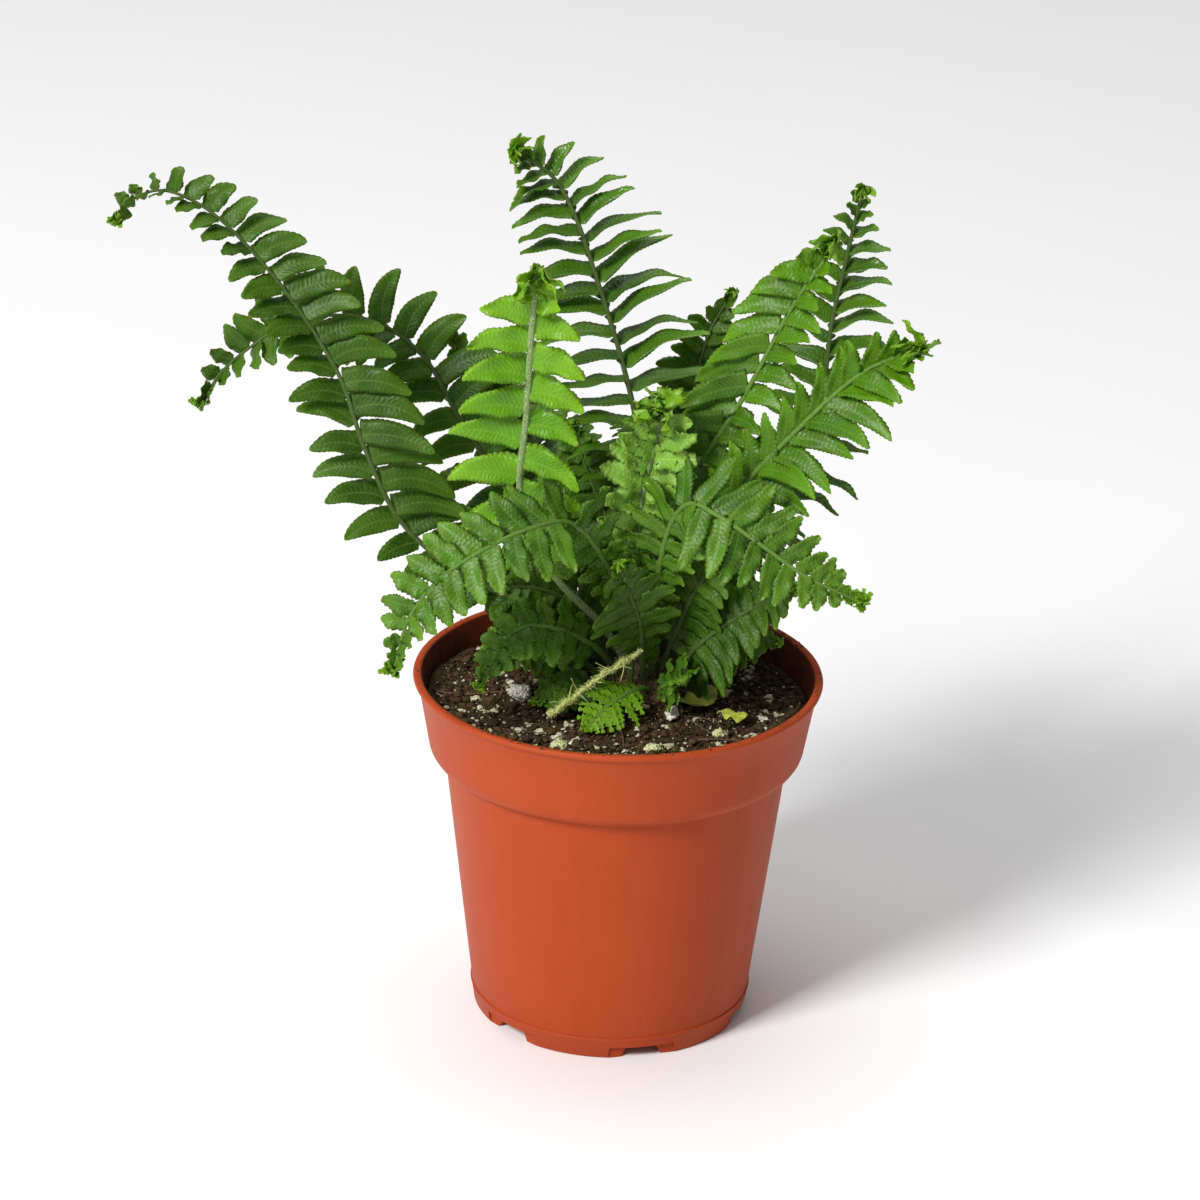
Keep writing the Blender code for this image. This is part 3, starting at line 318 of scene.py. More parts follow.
def leaflet(build, base, axes, length, width, habit, rng, lean, lift, blind, droop, side, curl=0.0,
            slot=0, columns=6, mark=None):
    """One leaflet as a closed, folded, toothed blade with an ear at its foot."""
    along, out, across = axes
    way = side * across * cos(lean) + along * sin(lean)
    way = unit(way * cos(lift) + out * sin(lift))
    chord = unit(along - way * (along @ way))
    normal = unit(out - way * (out @ way) - chord * (out @ chord))
    edge = chord * cos(blind) - normal * sin(blind)
    top = normal * cos(blind) + chord * sin(blind)
    teeth = max(4, round(length / habit.tooth))
    steps = 4 * teeth
    s = np.linspace(0, 1, steps + 1)[:, None]
    c = np.linspace(-1, 1, columns + 1)
    arch = habit.arch * rng.uniform(0.7, 1.5) * length
    centre = (base + way * (length * s) + edge * (arch * (3.2 * s * (1 - s) - 0.35 * s**3))
              - top * (curl * length * s**2) - UP * (droop * length * s**1.8))
    tangent = unit(np.gradient(centre, axis=0))
    e = unit(edge - tangent * (tangent @ edge)[:, None])
    n = np.cross(tangent, e) * side
    twist = rng.uniform(-0.25, 0.25) * s
    e, n = e * np.cos(twist) + n * np.sin(twist), n * np.cos(twist) - e * np.sin(twist)
    foot = np.minimum(1, s / 0.03) ** 0.5
    ear = 0.1 * width * np.exp(-((s - 0.02) / 0.07) ** 2)
    beat = (s * teeth + 0.12 * np.sin(9 * s)) % 1.0
    scallop = habit.depth * (habit.saw * (beat - 0.5)
                             + (1 - habit.saw) * (np.abs(np.sin(pi * beat)) ** 0.7 - 0.6))
    scallop = scallop * np.minimum(1, s / 0.1) * np.minimum(1, (1 - s) / 0.04)
    above = np.maximum(1 - s**habit.blunt, 0) ** 0.66 * (0.86 + 0.14 * np.minimum(1, s / 0.2))
    below = np.maximum(1 - s**habit.blunt_low, 0) ** 0.62 * (0.66 + 0.34 * np.minimum(1, s / 0.35))
    upper = foot * np.maximum(width * habit.upper * above + scallop + ear, 0.05)
    lower = foot * np.maximum(width * (1 - habit.upper) * below + 0.8 * scallop, 0.05)
    y = c * np.where(c > 0, upper, lower)
    phase, waves = rng.uniform(0, 6.28), rng.uniform(9, 15)
    wave = habit.ripple * (np.sin(s * waves + phase) * np.maximum(c, 0) ** 2
                           + 0.7 * np.sin(s * waves * 0.8 + phase + 2) * np.minimum(c, 0) ** 2)
    ribs = 0.09 * np.sin((s * length - 0.9 * np.abs(y)) * 2 * pi / habit.tooth)
    ribs = ribs * (np.abs(c) * (1.15 - np.abs(c))) * 2.4 * habit.fold / 0.16
    z = (habit.fold * np.abs(y) - habit.cup * y**2 / max(width, 0.1)
         + wave * np.minimum(1, 4 * s) * min(1.0, width / 6.0) + ribs - 0.1 * np.exp(-((c / 0.16) ** 2)))
    thick = 0.13 * np.sqrt(np.maximum(1 - c**2, 0))
    place = centre[:, None] + e[:, None] * y[..., None]
    upper_face = place + n[:, None] * (z + thick)[..., None]
    lower_face = place + n[:, None] * (z - thick)[..., None]
    inner, rows, cols = slice(1, steps), steps - 1, columns + 1
    verts = [centre[:1], upper_face[inner].reshape(-1, 3), centre[-1:],
             lower_face[inner, 1:-1].reshape(-1, 3)]
    mark = rng.random() if mark is None else mark

    def spread(grid, foot, head):
        return np.concatenate([[foot], grid[inner].ravel(), [head], grid[inner, 1:-1].ravel()])

    share = spread(np.broadcast_to(s, y.shape), 0, 1)
    blade = np.stack([share, spread(np.broadcast_to(c, y.shape), 0, 0), np.full(len(share), mark)], 1)
    upper_side = np.tile(np.where(np.abs(c) > 0.99, 0.5, 1.0), rows)
    upper_side = np.concatenate([[1], upper_side, [1], np.zeros(rows * (cols - 2))])
    size = np.stack([share * length, spread(y, 0, 0), upper_side], 1)
    head = 1 + rows * cols
    upper_at = 1 + np.arange(rows * cols).reshape(rows, cols)
    lower_at = upper_at.copy()
    lower_at[:, 1:-1] = head + 1 + np.arange(rows * (cols - 2)).reshape(rows, cols - 2)
    quads, tris = [], []
    for at, order in ((upper_at, side), (lower_at, -side)):
        quad = np.stack([at[:-1, :-1], at[1:, :-1], at[1:, 1:], at[:-1, 1:]], -1).reshape(-1, 4)
        foot_fan = np.stack([np.zeros(columns, int), at[0, :-1], at[0, 1:]], 1)
        head_fan = np.stack([np.full(columns, head), at[-1, 1:], at[-1, :-1]], 1)
        quads.append(quad[:, ::order])
        tris.append(np.vstack([foot_fan, head_fan])[:, ::order])
    build.add(np.vstack(verts), np.vstack(quads), np.vstack(tris), blade, size, slot)


# ---- materials


class Shade:
    """A node material: a Principled shader and the nodes that feed it."""

    def __init__(self, name, **values):
        self.material = bpy.data.materials.new(name)
        self.material.use_nodes = True
        self.tree = self.material.node_tree
        self.shader = self.tree.nodes["Principled BSDF"]
        for socket, value in values.items():
            self.shader.inputs[socket.replace("_", " ")].default_value = value
        self.coords = self.node("TexCoord").outputs["Object"]

    def node(self, kind, *inputs, **settings):
        made = self.tree.nodes.new("ShaderNode" + kind)
        for key, value in settings.items():
            setattr(made, key, value)
        for socket, value in inputs:
            self.feed(made.inputs[socket], value)
        return made

    def feed(self, socket, value):
        if isinstance(value, bpy.types.NodeSocket):
            self.tree.links.new(value, socket)
        elif value is not None:
            socket.default_value = value

    def math(self, operation, a, b=None, clamp=False):
        return self.node("Math", (0, a), (1, b), operation=operation, use_clamp=clamp).outputs[0]

    def times(self, a, b, clamp=False):
        return self.math("MULTIPLY", a, b, clamp)

    def plus(self, a, b, clamp=False):
        return self.math("ADD", a, b, clamp)

    def minus(self, a, b, clamp=False):
        return self.math("SUBTRACT", a, b, clamp)

    def mix(self, share, a, b):
        a, b = ((*v, 1.0) if isinstance(v, tuple) else v for v in (a, b))
        return self.node("Mix", (0, share), (6, a), (7, b), data_type="RGBA").outputs[2]

    def layers(self, colour, *laid):
        """Lays tints over a colour in turn, each where its share says, as strongly as its amount."""
        for share, amount, tint in laid:
            colour = self.mix(self.times(share, amount), colour, tint)
        return colour

    def ramp(self, share, start, end, low=0.0, high=1.0):
        """Goes from low to high while share goes from start to end."""
        made = self.node("ValToRGB", (0, share))
        for stop, position, grey in zip(made.color_ramp.elements, (start, end), (low, high)):
            stop.position, stop.color = position, (grey, grey, grey, 1)
        return made.outputs[0]

    def noise(self, scale, detail=3.0, rough=0.5, distortion=0.0, vector=None):
        return self.node("TexNoise", ("Vector", vector or self.coords), ("Scale", scale),
                         ("Detail", detail), ("Roughness", rough), ("Distortion", distortion)).outputs[0]

    def mark(self, name):
        mark = self.node("Attribute", attribute_name=name).outputs["Vector"]
        return self.node("SeparateXYZ", (0, mark)).outputs

    def bump(self, height, distance, strength=1.0, under=None):
        return self.node("Bump", ("Height", height), ("Distance", distance),
                         ("Strength", strength), ("Normal", under)).outputs[0]

    def finish(self, colour, rough, normal=None):
        for socket, value in (("Base Color", colour), ("Roughness", rough), ("Normal", normal)):
            self.feed(self.shader.inputs[socket], value)
        return self.material


def leaf_material(name, deep, main, light, under, rib, gloss, vein, relief, shine=0.32):
    """Fern leaf: mottled, finely veined from a pale midrib, lighter at tips and margins, matt below."""
    m = Shade(name, Subsurface_Weight=0.12, Subsurface_Radius=(0.5, 1.0, 0.2), Subsurface_Scale=0.0012,
              Specular_IOR_Level=shine)
    s, c, tone = m.mark("blade")
    x, y, upper = m.mark("size")
    mottle, fine = m.noise(210, 4, 0.6), m.noise(1900, 3, 0.6)
    off_midrib = m.math("ABSOLUTE", c)
    slant = m.minus(x, m.times(m.math("ABSOLUTE", y), 0.8))
    slant = m.plus(slant, m.times(m.noise(240, 2, 0.5), 3.4))
    lines = m.math("SINE", m.times(slant, 5.0))
    vein_line = m.math("POWER", m.plus(m.times(lines, 0.5), 0.5, clamp=True), 3.0)
    mid = m.minus(1.0, m.times(off_midrib, 9.0), clamp=True)
    margin = m.times(m.minus(off_midrib, 0.9), 9.0, clamp=True)
    tint = m.plus(m.times(tone, 0.42), m.times(m.math("POWER", s, 2.5), 0.4))
    patch = m.times(m.ramp(m.noise(150, 3, 0.6), 0.42, 0.62), m.minus(1.0, m.times(s, 2.6), clamp=True))
    speck = m.math("GREATER_THAN", m.noise(820, 2, 0.5), 0.735)
    tip = m.times(m.ramp(m.noise(95, 2, 0.5), 0.55, 0.65), m.times(m.minus(s, 0.93), 12.0, clamp=True))
    colour = m.mix(tint, m.mix(m.ramp(mottle, 0.3, 0.72), deep, main), light)
    colour = m.layers(colour, (vein_line, vein, light), (patch, 0.38, rib), (mid, 0.45, rib),
                      (margin, 0.35, light), (speck, 0.3, (0.3, 0.24, 0.06)),
                      (tip, 0.8, (0.22, 0.13, 0.04)))
    below = m.layers(under, (vein_line, 0.3, main), (tint, 0.7, light), (mid, 0.6, rib))
    rough = m.plus(m.plus(m.times(fine, 0.16), gloss), m.times(m.minus(1.0, upper), 0.26))
    height = m.plus(m.times(lines, -0.3), m.times(m.noise(260, 2, 0.4), 2.2))
    normal = m.bump(fine, 0.00004, 0.5, m.bump(height, relief, 0.8))
    return m.finish(m.mix(upper, below, colour), rough, normal)


def rib_material(name, foot, main, fuzz):
    """Midrib and stalk: darker at the foot, streaked, with scurfy pale fuzz."""
    m = Shade(name)
    streak, scurf = m.noise(900, 4, 0.65), m.ramp(m.noise(2600, 3, 0.7), 0.46, 0.6)
    colour = m.mix(m.ramp(m.mark("blade")[0], 0.02, 0.3), foot, main)
    colour = m.layers(colour, (scurf, 0.65, fuzz), (streak, 0.35, foot))
    return m.finish(colour, 0.6, m.bump(m.plus(streak, m.times(scurf, 0.6)), 0.00016, 0.8))


def pot_material():
    """Moulded polypropylene: flow streaks, scuffs, lip dust, painted shade at the foot, a wet stain and
    painted shade inside.
    """
    m = Shade("pot_moulded_plastic", Specular_IOR_Level=0.16)
    x, y, z = m.node("SeparateXYZ", (0, m.coords)).outputs
    stretched = m.node("Mapping", ("Vector", m.coords), ("Scale", (1.0, 1.0, 0.1))).outputs[0]
    streaks, grain = m.noise(260, 4, 0.6, 0.3, stretched), m.noise(3200, 2, 0.6)
    # painted shade: the pot darkens towards its foot, fading out 17.5 mm up
    low = m.ramp(m.times(z, 20.0), 0.0, 0.35, 1.0, 0.0)
    specks = m.math("GREATER_THAN", m.noise(1500, 2, 0.5), 0.72)
    dust = m.times(m.ramp(m.noise(420, 4, 0.7), 0.52, 0.7), m.times(m.minus(z, 0.092), 260.0, clamp=True))
    radius = m.math("SQRT", m.plus(m.times(x, x), m.times(y, y)))
    # the inner wall above 80 mm: a soil stain and painted shade together, darker in places as the noise
    # varies
    inside = m.math("LESS_THAN", m.minus(radius, m.times(z, 0.155)), 0.0371)
    inside = m.times(inside, m.math("GREATER_THAN", z, 0.08))
    stain_and_shade = m.ramp(m.noise(160, 5, 0.7), 0.3, 0.7, 0.95, 0.55)
    colour = m.mix(m.ramp(m.noise(22, 3, 0.5), 0.3, 0.7), (0.385, 0.051, 0.01), (0.425, 0.06, 0.012))
    # laid over it: flow streaks, painted shade at the foot, specks, dust at the lip, and on the inner wall a
    # stain with painted shade
    colour = m.layers(colour, (m.ramp(streaks, 0.45, 0.75), 0.22, (0.47, 0.075, 0.015)),
                      (low, 0.3, (0.3, 0.045, 0.012)), (specks, 0.25, (0.66, 0.26, 0.14)),
                      (dust, 0.3, (0.16, 0.07, 0.04)), (inside, stain_and_shade, (0.045, 0.017, 0.008)))
    scratches = m.ramp(m.noise(140, 6, 0.75, 0.6, stretched), 0.5, 0.8)
    rough = m.plus(0.42, m.plus(m.times(scratches, 0.16), m.times(grain, 0.12)))
    rough = m.plus(rough, m.times(dust, 0.2))
    return m.finish(colour, rough, m.bump(streaks, 0.00012, 0.25, m.bump(grain, 0.00003, 0.6)))


def soil_material(name, dark, main, light):
    """Damp peat: fibrous brown with lighter bark flecks and a crumbly surface."""
    m = Shade(name, Specular_IOR_Level=0.2)
    clump, fine = m.noise(330, 5, 0.7), m.noise(1700, 4, 0.7)
    colour = m.mix(m.ramp(clump, 0.32, 0.68), dark, main)
    colour = m.layers(colour, (m.mark("blade")[2], 0.7, light), (m.ramp(fine, 0.6, 0.72), 0.5, light))
    return m.finish(colour, 0.88, m.bump(m.plus(m.times(clump, 2.0), fine), 0.0007, 0.9))


def stone_material(name, pale, main, stain):
    """Expanded mineral: chalky and pitted, stained in its hollows."""
    m = Shade(name)
    pits = m.node("TexVoronoi", ("Vector", m.coords), ("Scale", 1500)).outputs["Distance"]
    soft = m.noise(600, 4, 0.6)
    colour = m.mix(m.ramp(soft, 0.35, 0.65), main, pale)
    colour = m.layers(colour, (m.mark("blade")[2], 0.6, stain),
                      (m.ramp(pits, 0.05, 0.3, 1.0, 0.0), 0.55, stain))
    return m.finish(colour, 0.85, m.bump(m.plus(m.times(pits, 1.5), soft), 0.0005, 0.8))


def dry_material(name, pale, main, brown):
    """Dry leaf or runner: straw-coloured, blotched and papery."""
    m = Shade(name)
    blotch, fine = m.noise(420, 5, 0.65), m.noise(2400, 3, 0.6)
    colour = m.layers(m.mix(m.ramp(blotch, 0.35, 0.65), main, pale),
                      (m.ramp(m.noise(900, 3, 0.6), 0.56, 0.7), 0.6, brown))
    return m.finish(colour, 0.72, m.bump(m.plus(blotch, fine), 0.00025, 0.8))


# A leaf's name; its deep, main and light green, underside and midrib; gloss, veins, relief and shine.
LEAF = {tone: leaf_material(*row) for tone, row in {
    "dark": ("leaf_mature", (0.008, 0.032, 0.0015), (0.022, 0.07, 0.0025), (0.09, 0.2, 0.008),
        (0.04, 0.095, 0.006), (0.11, 0.2, 0.03), 0.34, 0.12, 0.00009, 0.2),
    "mid": ("leaf_half_grown", (0.013, 0.054, 0.002), (0.036, 0.114, 0.003), (0.14, 0.3, 0.012),
        (0.06, 0.14, 0.008), (0.13, 0.29, 0.022), 0.34, 0.14, 0.0001, 0.3),
    "olive": ("leaf_maturing", (0.014, 0.054, 0.0012), (0.036, 0.108, 0.002), (0.15, 0.35, 0.006),
        (0.06, 0.14, 0.004), (0.11, 0.25, 0.01), 0.32, 0.14, 0.00009, 0.26),
    "bright": ("leaf_fresh", (0.042, 0.165, 0.0015), (0.092, 0.275, 0.002), (0.25, 0.49, 0.01),
        (0.11, 0.27, 0.006), (0.17, 0.38, 0.02), 0.3, 0.22, 0.00009),
    "tip": ("leaf_tip", (0.06, 0.17, 0.002), (0.11, 0.27, 0.004), (0.21, 0.4, 0.014),
        (0.09, 0.22, 0.006), (0.15, 0.32, 0.02), 0.3, 0.2, 0.00009),
    "slat": ("leaf_shaded", (0.01, 0.042, 0.0015), (0.03, 0.098, 0.0025), (0.13, 0.3, 0.008),
        (0.036, 0.092, 0.004), (0.09, 0.19, 0.02), 0.25, 0.12, 0.00012, 0.4),
    "young": ("leaf_unrolling", (0.085, 0.25, 0.012), (0.16, 0.37, 0.025), (0.33, 0.54, 0.09),
        (0.23, 0.43, 0.05), (0.34, 0.56, 0.09), 0.38, 0.3, 0.00012),
}.items()}
LEAF["lacy"] = LEAF["tip"]
RIB = {kind: rib_material(*row) for kind, row in {
    "rib_green": ("midrib_green", (0.03, 0.04, 0.008), (0.05, 0.11, 0.01), (0.11, 0.18, 0.026)),
    "rib_leafy": ("midrib_leafy", (0.04, 0.05, 0.01), (0.1, 0.24, 0.016), (0.19, 0.35, 0.045)),
    "rib_pale": ("midrib_scurfy", (0.05, 0.1, 0.016), (0.18, 0.32, 0.06), (0.64, 0.74, 0.46)),
}.items()}

# ---- fronds


def crown_point(frond):
    angle = radians(frond.spot)
    share = min(frond.ring / CROWN_RADIUS, 0.98)
    rise = CROWN_RISE * sqrt(1.0 - share * share)
    x, y = frond.ring * cos(angle), frond.ring * sin(angle)
    outward = unit((x / CROWN_RADIUS**2, y / CROWN_RADIUS**2, rise / CROWN_RISE**2))
    return CROWN_CENTRE + (x, y, rise), outward


RACHIS_RADIUS = 0.95
MIDRIB_STEPS, CURL_STEPS, BUD_LEAFLETS = 400, 59, 9
TWO_SIDES = (1, -1)
# A frond has this many times its table's pairs, closer together towards its tip.
MORE_PAIRS, CROWDING = 1.18, 1.3


def frond_piece(frond, number):
    """One whole frond: a grooved, hairy midrib, its leaflets, and the last of it still curled."""
    habit, own = HABITS[frond.tone], SETS.get(frond.name, PLAIN_SET)
    rng = np.random.default_rng(400 + number)
    start, outward = crown_point(frond)
    curve, run = smooth_curve([start - outward * 0.6, start + outward * NECK, *frond.route], MIDRIB_STEPS)
    low, high = unit(frond.face_low), unit(frond.face_high)
    faces = unit(np.linspace(0, 1, len(curve))[:, None] * (high - low) + low)
    along = unit(np.gradient(curve, axis=0))
    out = unit(faces - along * np.sum(faces * along, 1)[:, None])
    if habit.turns:
        # the tip rolls in on itself, towards its upper side
        steps = np.linspace(0, 1, CURL_STEPS + 1)[1:, None]
        angle = habit.turns * 2 * pi * steps
        radius = (0.7 + 0.04 * frond.reach) * (1 - 0.72 * steps)
        ahead, above = along[-1], out[-1]
        tail = ahead * np.cos(angle) + above * np.sin(angle)
        arc = np.cumsum(tail * (radius * habit.turns * 2 * pi / CURL_STEPS), axis=0)
        curve = np.vstack([curve, curve[-1] + arc])
        along = np.vstack([along, tail])
        out = np.vstack([out, above * np.cos(angle) - ahead * np.sin(angle)])
    across = unit(np.cross(along, out))
    build = Build()
    share = np.linspace(0, 1, len(curve))
    thick = RACHIS_RADIUS - RACHIS_RADIUS * (1 - habit.fine) * share**0.9
    thick[:6] *= np.linspace(1.35, 1.0, 6)
    tube(build, curve[::3], thick[::3], out[::3], groove=0.26)
    count = habit.hairs
    at = rng.integers(3, len(curve) - 25, count)
    spin = rng.uniform(0, 6.28, count)
    ways = across[at] * np.cos(spin)[:, None] + out[at] * np.sin(spin)[:, None]
    feet = curve[at] + ways * (thick[at] * 0.8)[:, None]
    spikes(build, feet, ways + along[at] * rng.uniform(0.2, 1.4, (count, 1)), rng.uniform(0.5, 1.3, count),
           np.full(count, 0.09), mark=0.9)
    spacing = run * (1 - frond.bare) / frond.pairs
    below = max(0, int((frond.bare - 0.16) * run / spacing)) if habit.upper < 0.6 else 0
    places = 2 * round(MORE_PAIRS * frond.pairs) + 1
    for k in range(-2 * below, places):
        local = 1 - (1 - k / places) ** CROWDING if k > 0 else 1.1 * k / places
        place = frond.bare + (1.0 - frond.bare) * local
        i, side, past = int(place * MIDRIB_STEPS), TWO_SIDES[k % 2], max(0.0, local)
        grow = 0.62 + 0.38 * max(-0.6, min(1.0, local / 0.22))
        length = frond.reach * grow * max(0.22, (1 - past ** (habit.taper + own.late)) ** 0.85)
        length *= rng.uniform(0.9, 1.06) * (own.long_right if side > 0 else own.long_left)
        width = min(frond.breadth * 1.12, spacing * 1.3) * (0.62 + 0.38 * length / frond.reach)
        width *= rng.uniform(0.94, 1.08)
        young = max(0.0, local - 0.86) / 0.14
        lean = frond.lean + 14 * local + rng.uniform(-6, 6) + 18 * young
        turned_by = (own.right if side > 0 else own.left) * (1 - 0.4 * past)
        lean = radians(lean + turned_by * (1 - 0.5 * young))
        lift = frond.lift + rng.uniform(-9, 9) + own.tip_lift * past**1.6
        lift = radians(lift + 50 * young * min(1, habit.turns))
        blind = radians(frond.blind + rng.uniform(-12, 12) + own.tip_blind * past**1.6)
        axes = (along[i], out[i], across[i])
        foot = curve[i] + across[i] * side * thick[i] * 0.35 + out[i] * thick[i] * 0.15
        leaflet(build, foot, axes, length, width, habit, rng, lean, lift, blind,
                frond.droop * rng.uniform(0.6, 1.4), side, curl=rng.uniform(-0.02, 0.2) - 0.35 * young,
                mark=min(1.0, 0.65 * rng.random() + 0.5 * past**2.5))
    for k in range(BUD_LEAFLETS if habit.turns else 0):
        i, side = MIDRIB_STEPS + 2 + 6 * k, TWO_SIDES[k % 2]
        length = frond.reach * habit.bud * (1 - 0.07 * k)
        leaflet(build, curve[i], (along[i], out[i], across[i]), length, length * 0.52, habit, rng,
                radians(rng.uniform(10, 65)), radians(rng.uniform(5, 50)),
                rng.uniform(-0.4, 0.6), 0.0, side, curl=rng.uniform(-0.6, 0.0), slot=2, mark=0.8)
    made = build.make("fern_" + frond.name, [LEAF[frond.tone], RIB[habit.rib], LEAF["tip"]])
    keep(made, habit.slot, "frond_" + frond.name)


for number, frond in enumerate(FRONDS):
    frond_piece(frond, number)

# ---- pot
# Radius and height, from the foot pad's middle out, up and back down the inside.
POT_SECTION = [
    (0.0, 0.0), (9.0, 0.0), (9.4, 0.25), (11.1, 3.2), (11.5, 3.4), (33.8, 3.4), (34.1, 3.1), (34.4, 0.3),
    (34.7, 0.0), (36.0, 0.0), (36.5, 0.12), (FOOT_RADIUS, 0.7), (37.6, 5.3), (37.8, 5.7), (37.82, 5.95),
    (37.7, 6.1), (37.45, 6.22), (37.5, 6.5), (40.0, 27.0), (43.0, 52.0), (45.35, 71.8), (45.48, 72.6),
    (45.75, 72.88), (46.7, 73.05), (47.9, 73.5), (48.7, 74.2), (49.35, 75.2), (49.7, 76.2), (49.9, 77.4),
    (51.3, 85.5), (52.65, 93.2), (52.95, 93.6), (53.5, 93.85), (53.85, 94.25), (54.0, 94.75), (53.85, 95.2),
    (53.45, RIM_HEIGHT), (52.4, RIM_HEIGHT), (51.9, 95.3), (51.62, 94.8), (50.2, 85.9), (48.85, 77.4),
    (48.5, 76.2), (47.7, 75.1), (46.6, 74.4), (45.3, 74.0), (44.6, 73.3), (44.3, 72.2), (36.5, 6.4),
    (36.1, 5.2), (35.2, 4.7), (12.4, 4.7), (11.9, 4.4), (10.5, 1.6), (10.0, 1.3), (0.0, 1.3),
]


def block(centre, angle, half, foot_width, top_width, low, high):
    """Corners of a block across a radius, narrower at its top."""
    out = np.array((cos(angle), sin(angle), 0.0))
    side = np.array((-sin(angle), cos(angle), 0.0))
    return [out * (centre + r * half) + side * (w * width / 2) + (0, 0, z)
            for z, width in ((low, foot_width), (high, top_width))
            for r, w in ((-1, -1), (1, -1), (1, 1), (-1, 1))]


def cut(item, name, blocks):
    tool = Build()
    for corners in blocks:
        tool.add(corners, [(0, 3, 2, 1), (4, 5, 6, 7), (0, 1, 5, 4), (1, 2, 6, 5), (2, 3, 7, 6),
                           (3, 0, 4, 7)], [])
    knife = tool.make(name, [])
    knife.data.polygons.foreach_set("use_smooth", [False] * len(knife.data.polygons))
    change = item.modifiers.new(name, "BOOLEAN")
    change.operation, change.solver, change.object = "DIFFERENCE", "EXACT", knife
    bpy.context.view_layer.objects.active = item
    bpy.ops.object.modifier_apply(modifier=name)
    bpy.data.objects.remove(knife, do_unlink=True)


def make_pot():
    build = Build()
    turned(build, POT_SECTION, 240)
    pot = build.make("pot_moulding", [pot_material()])
    angles = [NOTCH_TURN + 2 * pi * i / NOTCH_COUNT for i in range(NOTCH_COUNT)]
    knife_half, below = 4.0, -2.0
    cut(pot, "pockets", [block(FOOT_RADIUS - POCKET_DEPTH + knife_half, a, knife_half, POCKET_WIDTH,
                               POCKET_WIDTH - 1.0, below, POCKET_HEIGHT) for a in angles])
    slope = (ARCH_FOOT_WIDTH - ARCH_TOP_WIDTH) / ARCH_HEIGHT
    arches = [block(FOOT_RADIUS, a, 5.0, ARCH_FOOT_WIDTH - below * slope, ARCH_TOP_WIDTH, below,
                    ARCH_HEIGHT) for a in angles]
    drains = [block(DRAIN_RADIUS, a, DRAIN_LENGTH / 2, DRAIN_WIDTH, DRAIN_WIDTH, *FLOOR_CUT) for a in angles]
    cut(pot, "arches_and_drains", arches + drains)
    pot.data.set_sharp_from_angle(angle=radians(40))
    keep(pot, "pot_plastic", "pot")


make_pot()

# ---- soil
SOIL_WALL = [(0.0, 1.7), (9.7, 1.7), (11.8, 5.05), (35.0, 5.05), (36.0, 6.4), (43.9, 72.4), (44.9, 74.3),
             (47.4, 75.5), (48.4, 77.4)]
PLATEAU_RADIUS, MOUND_RUN = 14.0, 35.5
BANK_RISE, BANK_START, BANK_RUN = 2.6, 36.0, 13.0
LIP_RADII = (51.9, 53.6)


def soil_height(x, y):
    """The soil's level before its crumbs: the frame's low mound, and a bank against the pot's wall."""
    radius = np.hypot(x, y)
    run = np.maximum(0.0, radius - PLATEAU_RADIUS)
    rise = (PLATEAU_HEIGHT - EDGE_HEIGHT) * (1.0 - np.minimum(1.0, run / MOUND_RUN) ** 1.4)
    slope = -0.02 * x - 0.038 * y
    bumps = 0.55 * np.sin(0.31 * x + 1.0) * np.cos(0.27 * y)
    bank = BANK_RISE * np.clip((radius - BANK_START) / BANK_RUN, 0, 1) ** 1.5
    return EDGE_HEIGHT + rise + bank + np.minimum(1.0, run / 8.0) * (slope + bumps)


def crumb_noise(x, y, scale, seed):
    return np.array([noise.fractal(Vector((a * scale, b * scale, seed)), 0.6, 2.1, 4)
                     for a, b in zip(x, y)])


def soil_lift(ring):
    """The heights of a ring of the crumbly surface; a ring below the surface stays as it is."""
    x, y, z = ring.T
    if z[0] < EDGE_HEIGHT:
        return z
    rough = 0.55 * crumb_noise(x, y, 0.55, 3.0) + 0.45 * crumb_noise(x, y, 1.6, 9.0)
    return soil_height(x, y) + rough - 0.25


def icosphere(level):
    work = bmesh.new()
    bmesh.ops.create_icosphere(work, subdivisions=level, radius=1.0)
    verts = np.array([v.co[:] for v in work.verts])
    tris = np.array([[v.index for v in f.verts] for f in work.faces])
    work.free()
    return verts, tris


ICO = {level: icosphere(level) for level in (1, 2, 3, 4)}


def lump(rng, fine, rough):
    """A rough little stone of unit size: points and triangles."""
    ways, tris = ICO[fine]
    seed = rng.uniform(0, 50)
    swell = np.array([1 + rough * noise.fractal(Vector(w * 1.3) + Vector((seed,) * 3), 0.7, 2.2, 3)
                      for w in ways])
    return ways * swell[:, None], tris


def scatter(build, rng, count, sizes, reach, flat=0.75, fine=1, front=0.0, rough=0.34, marks=(0.0, 1.0)):
    """Lumps strewn over the soil; front is how much more likely they are on the front half."""
    done = 0
    while done < count:
        radius, angle = reach * sqrt(rng.random()), rng.uniform(0, 2 * pi)
        x, y = radius * cos(angle), radius * sin(angle)
        if hypot(x - CROWN_CENTRE[0], y - CROWN_CENTRE[1]) < CROWN_RADIUS + 0.6:
            continue
        if y > 0 and rng.random() < front:
            continue
        verts, tris = lump(rng, fine, rough)
        size = rng.uniform(*sizes) * rng.uniform(0.6, 1.0)
        stretch = np.array((rng.uniform(0.8, 1.4), rng.uniform(0.7, 1.1), flat * rng.uniform(0.7, 1.1)))
        verts = verts * stretch * size
        turn = rng.uniform(0, 6.28)
        c, s = cos(turn), sin(turn)
        verts = verts @ np.array(((c, s, 0), (-s, c, 0), (0, 0, 1)))
        verts = verts + (x, y, float(soil_height(x, y)) + size * (flat - 0.25) * 0.6)
        marks_here = np.tile((0, 0, rng.uniform(*marks)), (len(verts), 1))
        build.add(verts, [], tris, marks_here)
        done += 1


